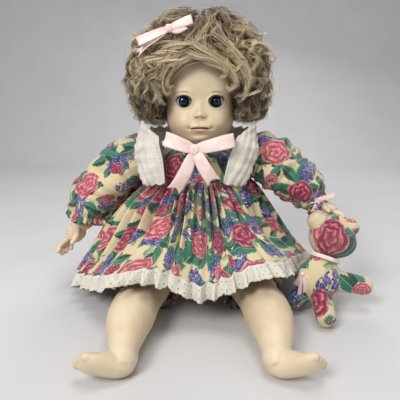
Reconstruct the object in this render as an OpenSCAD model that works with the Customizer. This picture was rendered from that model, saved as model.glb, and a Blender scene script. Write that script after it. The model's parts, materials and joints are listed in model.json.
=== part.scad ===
// Seated interactive baby doll: a hollow head with sleep eyes and a geared talking jaw, a torso shell
// with its electronics, jointed vinyl limbs, a gathered dress and a small stuffed bear tied to one wrist.
// The doll faces -Y, its own left side is +X, and the origin is on the floor in the middle of its seat.

/* [Head] */
// Height of the neck rim above the floor
neck_z = 203; // [198:1:208]
// Height of the head shell, neck rim to crown
head_h = 142; // [134:1:150]
// Width of the head shell
head_w = 94; // [88:1:100]
// Depth of the face in front of the neck axis
face_d = 60; // [57:1:64]
// Depth of the skull behind the neck axis
nape_d = 62; // [56:1:68]
// Thickness of the head shell
head_wall = 2.5; // [1.8:0.1:3]
// How far the nose stands out of the face
nose_out = 10; // [6:0.5:12]

/* [Eyes] */
// Height of the eye shaft above the neck rim
eye_up = 61; // [58:1:64]
// Distance between the middles of the eyes
eye_gap = 41; // [39:0.5:43]
// Radius of an eyeball
eye_r = 11.5; // [10.5:0.1:11.8]
// Width of an eye opening
eye_open_w = 17.5; // [15:0.5:18]
// Height of an eye opening
eye_open_h = 13.5; // [11:0.5:14]
// Radius of an iris
iris_r = 6.3; // [5.5:0.1:7]
// Thickness of an eyelid
lid_t = 0.5; // [0.4:0.1:0.8]
// Radius of the eye shaft
eye_shaft_r = 1.6; // [1.2:0.1:2]

/* [Gears] */
// Tooth module of both gear pairs
tooth = 1; // [0.8:0.05:1.05]
// Teeth round a full eye gear
eye_teeth = 36; // [34:2:36]
// Teeth round a full jaw sector
jaw_teeth = 32; // [30:2:32]
// Teeth of each motor pinion
pinion_teeth = 12; // [10:1:13]
// Face width of the gears
gear_w = 5; // [4:0.5:6]
// Radius of a motor can
motor_r = 9.5; // [8:0.5:10]
// Length of a motor can
motor_l = 22; // [16:1:25]
// Radius of a motor's output shaft
motor_shaft_r = 1; // [0.8:0.1:1.2]

/* [Mouth] */
// Height of the mouth line above the neck rim
mouth_up = 30.5; // [29:0.5:32]
// Width of the mouth slot
mouth_w = 24; // [20:1:26]
// Height of the mouth slot
mouth_h = 4; // [3:0.5:5]
// Radius of the jaw pin
jaw_pin_r = 1.5; // [1.2:0.1:2]

/* [Torso] */
// Width of the torso shell
torso_w = 112; // [106:1:116]
// Depth of the torso in front of the neck axis
chest_d = 39; // [37:0.5:41]
// Depth of the torso behind the neck axis
back_d = 40; // [38:0.5:42]
// Thickness of the torso shell
torso_wall = 2.5; // [2:0.1:3.5]
// Radius of the neck post
neck_r = 13; // [11:0.5:14]
// Radius of the loudspeaker
speaker_r = 25; // [20:1:26]
// Radius of a battery cell
cell_r = 7.1; // [6.8:0.1:7.2]
// Length of a battery cell
cell_l = 50; // [48:0.5:50.5]
// Radius of the push button on the belly
button_r = 8; // [6:0.5:10]
// Travel of the push button
button_travel = 2.5; // [1.5:0.1:3]
// Radius of the volume dial
dial_r = 10; // [9:0.5:11]
// Travel of the power switch
switch_travel = 4; // [3:0.5:5]

/* [Limbs] */
// Height of the shoulder axis
shoulder_z = 186; // [184:1:188]
// Radius of an arm at the shoulder
arm_r = 19; // [17:0.5:20]
// Height of the hip axis
hip_z = 38; // [37.5:0.5:40]
// Distance from the middle to a hip joint face
hip_x = 15; // [14:0.5:16]
// Radius of a thigh
thigh_r = 33; // [30:0.5:33]
// Wall of the hollow vinyl limbs
limb_wall = 3; // [2.5:0.1:3.5]
// Radius of the joint shafts
joint_r = 6; // [5:0.5:7]
// Radial running clearance of every shaft in its bore
run_gap = 0.06; // [0.02:0.01:0.1]
// Play between moving pieces
play = 0.4; // [0.35:0.05:0.5]

/* [Clothes] */
// Thickness of the dress cloth as modelled
cloth = 2; // [1.6:0.1:2.4]
// Height of the waist seam
waist_z = 161; // [156:1:166]
// How far the waist seam stands out from each side of the torso
waist_ease = 5; // [4:0.5:7]
// Depth of the hem ruffle
ruffle_h = 18; // [14:1:20]
// Radius of the fullest part of a sleeve
sleeve_r = 34; // [31:0.5:35]
// Height of the top of the hair
hair_z = 380; // [370:1:386]
// Width of the hair
hair_w = 192; // [184:1:196]

/* [Bear] */
// Radius of the bear's head
bear_head_r = 29; // [26:0.5:31]
// Radius of the bear's body
bear_body_r = 29; // [26:0.5:30]
// Radius of the bear's limbs
bear_limb_r = 11; // [9:0.5:12]

/* [Hidden] */

// ---- Lofts -------------------------------------------------------------------------------------------

function unit(v) = v / norm(v);

// Catmull-Rom value between q and r; t runs from 0 to 1
function between(p, q, r, s, t) = 0.5 * (2 * q + (r - p) * t + (2 * p - 5 * q + 4 * r - s) * t * t
    + (3 * q - p - 3 * r + s) * t * t * t);

// Smooth list through the stations p, with `per` steps from each station to the next
function smooth(p, per) = [
    for (i = [0 : len(p) - 2], k = [0 : per - 1])
        between(p[max(i - 1, 0)], p[i], p[i + 1], p[min(i + 2, len(p) - 1)], k / per),
    p[len(p) - 1]
];

// The same for a closed list
function smooth_loop(p, per) = let (n = len(p)) [
    for (i = [0 : n - 1], k = [0 : per - 1])
        between(p[(i + n - 1) % n], p[i], p[(i + 1) % n], p[(i + 2) % n], k / per)
];

// Middle of a list of points
function middle(ring) = [for (j = [0 : 2]) [for (p = ring) p[j]] * [for (p = ring) 1] / len(ring)];

// Two triangles over the corners a, b, c, d, split from a to c or from b to d
function split(a, b, c, d, lean) = lean ? [[a, b, d], [b, c, d]] : [[a, b, c], [a, c, d]];

// Closed solid over rings of equal count; `loop` joins the last ring to the first instead of capping.
// From ring `back` on the triangles lean the other way, which keeps the two sides of a cloth parallel
module skin(rings, loop = false, back = 1000) {
    n = len(rings[0]);
    m = len(rings);
    ends = loop ? [] : [middle(rings[0]), middle(rings[m - 1])];
    sides = [
        for (i = [0 : m - (loop ? 1 : 2)], j = [0 : n - 1])
            let (k = (j + 1) % n, up = (i + 1) % m)
                each split(i * n + j, up * n + j, up * n + k, i * n + k, i >= back)
    ];
    caps = loop ? [] : [
        for (j = [0 : n - 1])
            let (k = (j + 1) % n)
                each [[m * n, j, k], [m * n + 1, (m - 1) * n + k, (m - 1) * n + j]]
    ];
    polyhedron([for (ring = rings) each ring, each ends], concat(sides, caps), convexity = 8);
}

// Point of a rounded oval at angle a: half-width w, depth f towards -Y and b towards +Y
function power(v, e) = sign(v) * pow(abs(v), e);
function oval(a, w, f, b, square = 2.4) = [
    w * power(cos(a), 2 / square),
    (sin(a) < 0 ? f : b) * power(sin(a), 2 / square)
];

// Ring of n points round c, square to d, rs wide to the side and ru deep along `up`
function ring(c, d, up, rs, ru, n) = let (
    v = unit(up - (up * d) * d),
    s = cross(v, d)
) [for (i = [0 : n - 1]) c + rs * cos(i * 360 / n) * s + ru * sin(i * 360 / n) * v];

// Rings along stations [x, y, z, side radius, up radius]
function tube_rings(stations, up, n) = [
    for (i = [0 : len(stations) - 1])
        let (
            here = stations[i],
            last = stations[max(i - 1, 0)],
            next = stations[min(i + 1, len(stations) - 1)],
            d = unit([for (j = [0 : 2]) next[j] - last[j]])
        ) ring([here[0], here[1], here[2]], d, up, here[3], here[4], n)
];

// Round-ended rod from a to b
module capsule(a, b, r) {
    hull() {
        translate(a) sphere(r, $fn = 14);
        translate(b) sphere(r * 0.95, $fn = 14);
    }
}

// Cylinder along X from x0 to x1 with its axis at [y, z]
module bar_x(x0, x1, at, r, sides = 48) {
    translate([x0, at[0], at[1]]) rotate([0, 90, 0]) cylinder(r = r, h = x1 - x0, $fn = sides);
}

// Cylinder along Y from y0 to y1 with its axis at [x, z]
module bar_y(y0, y1, at, r, sides = 48) {
    translate([at[0], y1, at[1]]) rotate([90, 0, 0]) cylinder(r = r, h = y1 - y0, $fn = sides);
}

// The children and their mirror image on the other side of the doll
module both() {
    children();
    mirror([1, 0, 0]) children();
}

// ---- Head --------------------------------------------------------------------------------------------

eye_z = neck_z + eye_up;
eye_x = eye_gap / 2;
// The ball sits as far back as its own radius and the shell wall need
eye_y = -(face_d - 21.5);
mouth_z = neck_z + mouth_up;
ball_gap = lid_t + play + 0.2;

// Head stations as shares: height, half-width, front depth, back depth
head_form = [
    [0, 0.45, 0.36, 0.37], [0.05, 0.55, 0.7, 0.45], [0.09, 0.7, 0.9, 0.6], [0.17, 0.9, 1, 0.78],
    [0.28, 1, 1.01, 0.9], [0.43, 0.98, 0.94, 0.97], [0.58, 1, 0.94, 1], [0.74, 0.94, 0.86, 0.95],
    [0.88, 0.74, 0.67, 0.77], [0.965, 0.43, 0.4, 0.46], [1, 0.06, 0.06, 0.07]
];

function bump(x, z, x0, z0, wide, tall) = exp(-pow((x - x0) / wide, 2) - pow((z - z0) / tall, 2));

// How far the sculpted face stands out of the plain form at a place on its front
function features(x, z) = let (s = abs(x))
    nose_out * bump(x, z, 0, eye_z - 16.5, 5.5, 5)
    + 0.4 * nose_out * bump(x, z, 0, eye_z - 9, 5, 9)
    + 0.25 * nose_out * bump(s, z, 6, eye_z - 18.5, 3.5, 3.5)
    + 4.5 * bump(s, z, 25, eye_z - 26, 12, 12)
    + 3.5 * bump(x, z, 0, mouth_z, 10, 5)
    + 4 * bump(x, z, 0, neck_z + 14, 11, 7)
    + 1.5 * bump(s, z, eye_x, eye_z + 12, 12, 4)
    - 2 * bump(s, z, eye_x, eye_z, 11, 8)
    - 1.5 * bump(x, z, 0, mouth_z - 7, 12, 3);

// More points round the front, where the face is
face_points = 30;
nape_points = 12;
head_angles = [
    for (i = [0 : face_points - 1]) 180 + i * 180 / face_points,
    for (i = [0 : nape_points - 1]) i * 180 / nape_points
];

function head_ring(s, wall, sculpt) = [
    for (a = head_angles)
        let (
            z = neck_z + s[0] * head_h,
            flat = oval(a, s[1] * head_w / 2 - wall, s[2] * face_d - wall, s[3] * nape_d - wall, 2.5),
            out = sculpt && sin(a) < -0.2 ? features(flat[0], z) : 0
        ) [
            flat[0] * (1 + out * 0.003),
            flat[1] - out,
            s[0] == 0 ? neck_z - wall : min(z, neck_z + head_h - wall)
        ]
];

// Solid form of the head, `wall` inside its surface
module head_solid(wall = 0, steps = 2, sculpt = true) {
    skin([for (s = smooth(head_form, steps)) head_ring(s, wall, sculpt)]);
}

split_y = 8;

module eye_sockets() {
    both() {
        translate([eye_x, -30, eye_z])
            scale([1, 1, eye_open_h / eye_open_w])
                bar_y(-60, 0, [0, 0], eye_open_w / 2, 28);
        translate([eye_x, eye_y, eye_z]) sphere(eye_r + ball_gap, $fn = 40);
    }
}

// Depth of the nape at [x, z], to the middle of the shell's wall
function nape_y(at) = let (
    s = (at[1] - neck_z) / head_h,
    w = lookup(s, [for (f = head_form) [f[0], f[1]]]) * head_w / 2,
    d = lookup(s, [for (f = head_form) [f[0], f[3]]]) * nape_d
) d * pow(1 - pow(abs(at[0]) / w, 2.5), 1 / 2.5) - head_wall / 2;

module head_hollow() {
    difference() {
        head_solid(0, 2);
        head_solid(head_wall, 1, false);
        eye_sockets();
        translate([-mouth_w / 2, -2 * face_d, mouth_z - mouth_h])
            cube([mouth_w, 2 * face_d - 40, mouth_h]);
    }
}

module face_shell() {
    color("#dcc8a2")
        intersection() {
            head_hollow();
            translate([-head_w, split_y - 2 * face_d, neck_z - 1])
                cube([2 * head_w, 2 * face_d, head_h + 2]);
        }
}

// Back of the head with the four posts that the mechanism frame is screwed to
module scalp_shell() {
    color("#d2be98")
        difference() {
            union() {
                difference() {
                    head_hollow();
                    translate([-head_w, split_y - 2 * face_d, neck_z - 1])
                        cube([2 * head_w, 2 * face_d, head_h + 2]);
                }
                for (at = frame_screws) bar_y(frame_y + frame_t, nape_y(at), at, post_r, 24);
            }
            for (at = frame_screws) bar_y(frame_y, frame_y + screw_l, at, screw_r, 24);
        }
}

// Wig: a lumpy closed form over the head, open below and at the face
hair_form = [
    [0, 0.72, 0.18, 0.66], [0.06, 0.9, 0.32, 0.86], [0.2, 0.99, 0.42, 0.97], [0.36, 1, 0.5, 1],
    [0.56, 0.95, 0.66, 1], [0.76, 0.81, 0.66, 0.87], [0.92, 0.54, 0.46, 0.57], [1, 0.14, 0.12, 0.14]
];
hair_bottom = neck_z + 29;
cap_gap = 0.9;
hair_d = 92;
curls = 11;

module hair() {
    points = 33;
    color("#b89f7a")
        difference() {
            skin([
                for (s = smooth(hair_form, 2)) [
                    for (i = [0 : points - 1])
                        let (
                            a = i * 360 / points,
                            z = hair_bottom + s[0] * (hair_z - hair_bottom),
                            curl = 1 - 0.035 * (1 + cos(a * curls + s[0] * 500)),
                            p = oval(a, s[1] * hair_w / 2, s[2] * hair_d, s[3] * hair_d, 2.1)
                        ) [p[0] * curl, p[1] * curl, z]
                ]
            ]);
            skin([for (s = head_form) head_ring(s, -cap_gap, false)]);
        }
}

// ---- Satin bows --------------------------------------------------------------------------------------

// A flat bow in its own XZ plane: two loops of ribbon, a knot and two tails
module bow_loop(length, height, width, t) {
    outline = [
        for (i = [0 : 15])
            let (a = i * 360 / 16)
                [length / 2 * (1 - cos(a)), height / 2 * sin(a) * sqrt(sin(a / 2))]
    ];
    rotate([90, 0, 0])
        linear_extrude(width, center = true)
            difference() {
                polygon(outline);
                translate([t, 0]) scale([1 - 2 * t / length, 1 - 2 * t / height]) polygon(outline);
            }
}

module bow_tail(length, width, t) {
    rotate([90, 0, 0])
        linear_extrude(t, center = true)
            polygon([
                [0, -width / 3], [length, -width / 2], [length - width / 2, 0], [length, width / 2],
                [0, width / 3]
            ]);
}

ribbon_t = 1.2;

module hair_ribbon() {
    color("#f2d2ca")
        translate([-34, -66, hair_z - 32]) rotate([-22, -14, -18]) {
            rotate([0, 12, 0]) bow_loop(26, 13, 9, ribbon_t);
            rotate([0, 186, 0]) bow_loop(30, 13, 9, ribbon_t);
            rotate([90, 0, 0]) cylinder(r = 4.5, h = 10, center = true, $fn = 32);
        }
}

// ---- Gears -------------------------------------------------------------------------------------------

pressure = 25;
addendum = 0.8 * tooth;
dedendum = 1.05 * tooth;
backlash = 0.16;

function inv(a) = tan(a) - a * PI / 180;

// Half of a tooth's angle, in degrees, at radius r of a gear with n teeth: the involute law
function half_tooth(n, r) = let (pitch_r = n * tooth / 2, base_r = pitch_r * cos(pressure))
    (PI * tooth / 2 - backlash) / (2 * pitch_r) * 180 / PI
    + (inv(pressure) - inv(acos(min(1, base_r / r)))) * 180 / PI;

function at_angle(r, a) = [r * cos(a), r * sin(a)];

// Outline of the teeth numbered first to last, tooth 0 pointing at `phase`, closed through the hub
function tooth_points(n, phase, first, last) = let (
    root = n * tooth / 2 - dedendum,
    base_r = n * tooth / 2 * cos(pressure),
    tip = n * tooth / 2 + addendum,
    foot = max(root, base_r),
    radii = [root, for (k = [0 : 3]) foot + (tip - foot) * k / 3]
) [
    for (i = [first : last])
        let (a = phase + i * 360 / n)
            each concat(
                [for (r = radii) at_angle(r, a - half_tooth(n, max(r, base_r)))],
                [for (k = [4 : -1 : 0]) at_angle(radii[k], a + half_tooth(n, max(radii[k], base_r)))]
            )
];

// Spur gear along X: a full wheel, or a sector of teeth first to last on a hub
module gear_x(x0, x1, at, n, phase, first, last, hub) {
    translate([x0, at[0], at[1]])
        rotate([90, 0, 90]) {
            linear_extrude(x1 - x0)
                polygon(last - first + 1 >= n
                    ? tooth_points(n, phase, first, last)
                    : concat([[0, 0]], tooth_points(n, phase, first, last)));
            cylinder(r = hub, h = x1 - x0, $fn = 48);
        }
}

// ---- Mechanism ---------------------------------------------------------------------------------------

eye_pitch = eye_teeth * tooth / 2;
jaw_pitch = jaw_teeth * tooth / 2;
pinion_pitch = pinion_teeth * tooth / 2;
half_w = gear_w / 2;
lug_t = 3;
lug_in = half_w + play;
lug_out = lug_in + lug_t;

eye_at = [eye_y, eye_z];
mesh_angle = 45;
eye_pinion_at = eye_at + at_angle(eye_pitch + pinion_pitch, mesh_angle);
jaw_at = [-18, neck_z + 39];
jaw_pinion_at = jaw_at + [jaw_pitch + pinion_pitch, 0];
eye_travel = 65;
jaw_travel = 5;

frame_y = max(20, jaw_pinion_at[0] + motor_r + 2);
frame_t = 3;
frame_w = 48;
post_r = 4.5;
screw_r = 1.5;
screw_l = 14;
frame_screws = [for (x = [-17, 17], z = [neck_z + 26, neck_z + 78]) [x, z]];

hub_r = neck_r + 4;
hub_z = neck_z + 2;
hub_h = 13;

// Frame that carries both movements, with a hub at its foot that turns on the neck post
module head_frame() {
    color("#8f9296")
        difference() {
            union() {
                translate([0, 0, hub_z]) cylinder(r = hub_r, h = hub_h, $fn = 64);
                translate([-frame_w / 4, 0, hub_z + hub_h - 5]) cube([frame_w / 2, frame_y + frame_t, 5]);
                translate([-frame_w / 4, frame_y, hub_z + hub_h - 5]) cube([frame_w / 2, frame_t, 20]);
                translate([-frame_w / 2, frame_y, neck_z + 20]) cube([frame_w, frame_t, 70]);
                for (x = [lug_in, -lug_out])
                    translate([x, 0, 0]) rotate([90, 0, 90]) linear_extrude(lug_t)
                        polygon([
                            eye_at + [0, -5], jaw_at + [0, -5.5], jaw_pinion_at + [0, -5.5],
                            [frame_y + 1, jaw_at[1] - 5.5], [frame_y + 1, eye_pinion_at[1] + 5],
                            eye_pinion_at + [0, 5], eye_at + [0, 5]
                        ]);
                for (at = [eye_at, jaw_at, eye_pinion_at])
                    for (x = [lug_in, -lug_out])
                        bar_x(x, x + lug_t, at, 5.2, 40);
            }
            translate([0, 0, hub_z - 1]) cylinder(r = neck_r + run_gap, h = hub_h + 2, $fn = 96);
            bar_x(-20, 20, eye_at, eye_shaft_r + run_gap);
            bar_x(-20, 20, jaw_at, jaw_pin_r);
            for (at = [eye_pinion_at, jaw_pinion_at]) bar_x(-20, 20, at, motor_shaft_r + run_gap);
            for (at = frame_screws) bar_y(0, 60, at, screw_r + 0.1, 24);
            // Lightening windows on both sides of the lugs
            for (x = [-17, 17]) translate([x - 5, 0, neck_z + 40]) cube([10, 60, 26]);
        }
}

// Permanent-magnet motor: a can with flats, a boss at the shaft end and two tags
module motor(at, side) {
    mirror([side < 0 ? 1 : 0, 0, 0])
        difference() {
            union() {
                intersection() {
                    bar_x(lug_out, lug_out + motor_l, at, motor_r, 64);
                    translate([lug_out, at[0] - motor_r, at[1] - motor_r + 1.5])
                        cube([motor_l, 2 * motor_r, 2 * motor_r - 3]);
                }
                bar_x(lug_out + motor_l, lug_out + motor_l + 1.5, at, motor_r * 0.4);
                for (y = [-4, 4])
                    translate([lug_out + motor_l, at[0] + y - 0.4, at[1] + motor_r * 0.45])
                        cube([3, 0.8, 2]);
            }
            bar_x(lug_out - 1, lug_out + 7, at, motor_shaft_r + run_gap);
        }
}

module eye_motor() {
    color("#b9bcbe") motor(eye_pinion_at, 1);
}

module jaw_motor() {
    color("#b9bcbe") motor(jaw_pinion_at, -1);
}

// Pinion with the arbor that runs in its motor and in the far lug; a gap faces the gear it drives
module pinion(at, toward, side) {
    gap = pinion_teeth % 2 == 0 ? 180 / pinion_teeth : 0;
    gear_x(-half_w, half_w, at, pinion_teeth, toward + 180 + gap, 0, pinion_teeth - 1, 2);
    bar_x(side > 0 ? -lug_out : -lug_out - 6, side > 0 ? lug_out + 6 : lug_out, at, motor_shaft_r);
}

module eye_pinion() {
    color("#c9a45c") pinion(eye_pinion_at, mesh_angle, 1);
}

module jaw_pinion() {
    color("#c9a45c") pinion(jaw_pinion_at, 0, -1);
}

module jaw_pin() {
    color("#aeb2b5") bar_x(-lug_out - 1, lug_out + 1, jaw_at, jaw_pin_r);
}

module eye_shaft() {
    color("#aeb2b5") bar_x(-eye_x - eye_r * 0.5, eye_x + eye_r * 0.5, eye_at, eye_shaft_r);
}

// Sector gear pinned to the eye shaft; its teeth reach over the whole blink
module eye_gear() {
    color("#d8d3c4")
        difference() {
            gear_x(-half_w, half_w, eye_at, eye_teeth, mesh_angle,
                -ceil(eye_travel * eye_teeth / 360) - 1, 2, 5);
            bar_x(-half_w - 1, half_w + 1, eye_at, eye_shaft_r);
        }
}

module eyeballs() {
    color("#f4f1ea")
        difference() {
            both() translate([eye_x, eye_y, eye_z]) sphere(eye_r, $fn = 64);
            bar_x(-eye_x - eye_r * 0.5, eye_x + eye_r * 0.5, eye_at, eye_shaft_r);
        }
}

// Shell over the ball between two planes through the shaft; it drops over the opening as the ball turns
lid_front = 180 - 29;
lid_back = lid_front - 76;

module lid_form(inner, outer) {
    translate([0, eye_y, eye_z])
        difference() {
            sphere(outer, $fn = 64);
            sphere(inner, $fn = 64);
            bar_x(-2 * eye_r, 2 * eye_r, [0, 0], eye_r * 0.45);
            rotate([lid_front, 0, 0]) translate([-2 * eye_r, -2 * eye_r, 0])
                cube([4 * eye_r, 4 * eye_r, 2 * eye_r]);
            rotate([lid_back, 0, 0]) translate([-2 * eye_r, -2 * eye_r, -2 * eye_r])
                cube([4 * eye_r, 4 * eye_r, 2 * eye_r]);
        }
}

module eyelids() {
    color("#dcc8a2")
        both() translate([eye_x, 0, 0]) lid_form(eye_r, eye_r + lid_t);
}

module irises() {
    iris_t = 0.3;
    color("#1c2a4a")
        both() translate([eye_x, 0, 0])
            difference() {
                intersection() {
                    translate([0, eye_y, eye_z]) sphere(eye_r + iris_t, $fn = 64);
                    bar_y(eye_y - 2 * eye_r, eye_y, [0, eye_z], iris_r);
                }
                translate([0, eye_y, eye_z]) sphere(eye_r, $fn = 64);
                translate([-eye_r, eye_y, eye_z])
                    rotate([lid_front, 0, 0]) mirror([0, 0, 1]) cube([2 * eye_r, 2 * eye_r, 2 * eye_r]);
            }
}

// Depth of the plain face form at height z on the centre line, inside the wall
lip_y = -face_d * 0.97 + head_wall + play;

// Lever on the jaw pin: toothed sector behind, arm and lip plate in front
module jaw_lever() {
    color("#d8d3c4")
        difference() {
            union() {
                gear_x(-half_w, half_w, jaw_at, jaw_teeth, 0, -2, 2, 4.5);
                translate([-half_w, 0, 0]) rotate([90, 0, 90]) linear_extrude(gear_w)
                    polygon([
                        jaw_at + [0, 4], jaw_at + [0, -4.4],
                        [lip_y + 6, mouth_z - mouth_h - 3], [lip_y + 4, mouth_z - mouth_h - 3],
                        [lip_y + 4, mouth_z - 1], [lip_y + 10, mouth_z]
                    ]);
            }
            bar_x(-half_w - 1, half_w + 1, jaw_at, jaw_pin_r + run_gap);
        }
}

// Lower lip: a curved plate behind the mouth slot, fixed to the end of the lever
module lower_lip() {
    lip_w = mouth_w - 1;
    color("#d99a86")
        difference() {
            intersection() {
                translate([0, lip_y + 26, mouth_z - mouth_h - 3.4])
                    cylinder(r = 26, h = mouth_h + 3, $fn = 96);
                translate([-lip_w / 2, lip_y - 1, mouth_z - mouth_h - 4])
                    cube([lip_w, 10, mouth_h + 4]);
            }
            translate([0, lip_y + 26, mouth_z - mouth_h - 5]) cylinder(r = 23, h = mouth_h + 6, $fn = 96);
            translate([-half_w, lip_y + 3.9, mouth_z - mouth_h - 5]) cube([gear_w, 10, mouth_h + 6]);
        }
}

module screw_y(at, y0, y1, side) {
    bar_y(y0, y1, at, screw_r, 24);
    difference() {
        bar_y(side > 0 ? y1 : y0 - 2, side > 0 ? y1 + 2 : y0, at, 2 * screw_r, 32);
        translate([at[0], side > 0 ? y1 + 1.6 : y0 - 1.6, at[1]])
            for (turn = [0, 90]) rotate([0, turn, 0]) cube([3.4 * screw_r, 1, 0.8], center = true);
    }
}

module head_screws() {
    color("#8d9093")
        for (at = frame_screws) screw_y(at, frame_y, frame_y + screw_l, -1);
}

// ---- Torso -------------------------------------------------------------------------------------------

// Middle of the doll to the face that a shoulder joint turns on
shoulder_x = torso_w / 2 - 2;
torso_top = neck_z - 0.5;
collar_r = hub_r + 5;
hip_y = -10;
speaker_at = [0, 152];
speaker_y = -chest_d + 9;
button_at = [0, 108];
button_boss = 12;
panel_y = back_d - 7;
panel_t = 7;
panel_in = panel_y - panel_t;
cell_pitch = 2 * cell_r + 0.1;
cells = 4;
bay_z = 82.6;
bay_h = cells * cell_pitch + 0.5;
bay_w = cell_l + 8;
door_t = 2.8;
door_rim = 4.2;
door_w = bay_w + 2 * door_rim;
door_z = bay_z - door_rim;
door_h = bay_h + 2 * door_rim + 2;
panel_top = door_z + door_h + 22;
dial_at = [15, panel_y - dial_r + 3, door_z + door_h + 10];
switch_at = [-17, dial_at[2]];
switch_w = 6;
switch_h = 4.4;
case_screw_at = [for (x = [-41, 41], z = [96, 168]) [x, z]];
bush_t = 3;
shoulder_bush = 16;
hip_bush = 6;

// Torso stations: height, half-width, front depth, back depth
torso_form = [
    [7, hip_x - 3, 0.75 * chest_d, 0.9 * back_d], [20, hip_x, 0.9 * chest_d, 1.15 * back_d],
    [50, hip_x, 0.95 * chest_d, 1.1 * back_d], [70, hip_x, 0.95 * chest_d, back_d],
    [80, 0.4 * torso_w, 0.98 * chest_d, back_d], [92, 0.49 * torso_w, chest_d, back_d],
    [125, 0.5 * torso_w, chest_d, 0.98 * back_d], [160, 0.48 * torso_w, 0.97 * chest_d, 0.95 * back_d],
    [185, 0.45 * torso_w, 0.9 * chest_d, 0.9 * back_d],
    [197, 0.36 * torso_w, 0.72 * chest_d, 0.72 * back_d],
    [torso_top, 0.18 * torso_w, 0.5 * chest_d, 0.5 * back_d]
];
torso_bottom = torso_form[0][0];
torso_points = 28;

function torso_ring(s, wall) = [
    for (i = [0 : torso_points - 1])
        let (p = oval(i * 360 / torso_points, s[1] - wall, s[2] - wall, s[3] - wall))
            [p[0], p[1], min(max(s[0], torso_bottom + wall), torso_top - wall)]
];

module torso_solid(wall) {
    skin([for (s = torso_form) torso_ring(s, wall)]);
}

// Whole case before it is split: shell, collar and limb bosses with the openings they share
module torso_case() {
    difference() {
        union() {
            difference() {
                torso_solid(0);
                torso_solid(torso_wall);
            }
            translate([0, 0, torso_top - 9]) cylinder(r = collar_r, h = 9, $fn = 64);
            both() bar_x(shoulder_x - shoulder_bush, shoulder_x, [0, shoulder_z], joint_r + 8, 64);
            both() bar_x(hip_x - hip_bush, hip_x, [hip_y, hip_z], joint_r + 7, 64);
        }
        // Seat of the neck post's flange, and the hole that its shoulder fills
        translate([0, 0, torso_top - 20]) cylinder(r = hub_r + 2, h = 17, $fn = 64);
        translate([0, 0, torso_top - 4]) cylinder(r = hub_r, h = 5, $fn = 64);
        both() {
            bar_x(shoulder_x - 2 * shoulder_bush, shoulder_x + 2, [0, shoulder_z], joint_r + bush_t, 64);
            bar_x(0, hip_x + 2, [hip_y, hip_z], joint_r + bush_t, 64);
        }
    }
}

module front_space() {
    translate([-torso_w, -2 * torso_w, 0]) cube([2 * torso_w, 2 * torso_w, 2 * torso_w]);
}

// Front of the case: speaker ring and grille, belly button bore, screw posts
module torso_front() {
    color("#d9c5a0")
        difference() {
            union() {
                intersection() {
                    torso_case();
                    front_space();
                }
                intersection() {
                    torso_solid(torso_wall / 2);
                    union() {
                        difference() {
                            bar_y(-chest_d, speaker_y, speaker_at, speaker_r + 3, 64);
                            bar_y(-chest_d - 1, speaker_y + 1, speaker_at, speaker_r - 3, 64);
                        }
                        bar_y(-chest_d, -chest_d + button_boss, button_at, button_r + 3, 48);
                        for (at = case_screw_at) bar_y(-chest_d, 0, at, post_r, 24);
                    }
                }
            }
            bar_y(-chest_d - 5, 0, button_at, button_r + run_gap, 64);
            for (at = case_screw_at) bar_y(-screw_l, 1, at, screw_r, 24);
            // Grille: one hole in the middle and three rings round it
            for (ring = [0 : 3], i = [0 : max(1, 6 * ring) - 1])
                bar_y(-chest_d - 5, speaker_y, speaker_at + at_angle(ring * (speaker_r - 5) / 3.4,
                    i * 60 / max(1, ring)), 1.6, 16);
        }
}

// Back of the case: control panel, door opening with its rebate, dial pin and switch rails
module torso_back() {
    color("#d0bc96")
        difference() {
            union() {
                difference() {
                    union() {
                        difference() {
                            torso_case();
                            front_space();
                        }
                        translate([-door_w / 2 - 3, panel_in, door_z - 3])
                            cube([door_w + 6, panel_t, panel_top - door_z + 3]);
                    }
                    translate([-door_w / 2, panel_y, door_z]) cube([door_w, 20, panel_top - door_z - 3]);
                    translate([-door_w / 2, panel_y - door_t, door_z]) cube([door_w, 20, door_h]);
                    translate([-bay_w / 2, 0, bay_z]) cube([bay_w, 60, bay_h]);
                    translate([dial_at[0] - dial_r - 1, panel_in - 1, dial_at[2] - 2])
                        cube([2 * dial_r + 2, 20, 4]);
                    translate([switch_at[0] - (switch_w + play) / 2, 0,
                        switch_at[1] - (switch_h + play) / 2])
                        cube([switch_w + switch_travel + play, 60, switch_h + play]);
                }
                translate([dial_at[0] - 5, dial_at[1] - 5, dial_at[2] - 7]) cube([10, 6, 5]);
                translate([dial_at[0] - 5, dial_at[1] - 1, dial_at[2] - 7])
                    cube([10, panel_in + 1 - dial_at[1] + 1, 5]);
                translate(dial_at + [0, 0, -2.5]) cylinder(r = 2, h = 5.5, $fn = 32);
                for (z = [-1, 1])
                    translate([switch_at[0] - 7, panel_in - 3, switch_at[1] + z * 6 - 1])
                        cube([18, 4, 2]);
                intersection() {
                    torso_solid(torso_wall / 2);
                    for (at = case_screw_at) bar_y(0, back_d, at, post_r, 24);
                }
            }
            bar_y(0, 60, [0, door_z + door_h - 3], screw_r, 24);
            for (at = case_screw_at) {
                bar_y(-1, 60, at, screw_r + 0.1, 24);
                bar_y(screw_l, 60, at, 2 * screw_r + 0.5, 32);
            }
        }
}

// Hollow post with a flange under the collar and a snap lip over the head's hub
module neck_post() {
    lip_z = hub_z + hub_h + play;
    color("#c8ccd0")
        rotate_extrude($fn = 96)
            polygon([
                [neck_r - 5, torso_top - 6.5], [hub_r + 2, torso_top - 6.5], [hub_r + 2, torso_top - 3],
                [hub_r, torso_top - 3], [hub_r, hub_z], [neck_r, hub_z], [neck_r, lip_z],
                [neck_r + 1.2, lip_z + 0.4], [neck_r + 1.2, lip_z + 1], [neck_r - 0.8, lip_z + 3.5],
                [neck_r - 5, lip_z + 3.5]
            ]);
}

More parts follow.
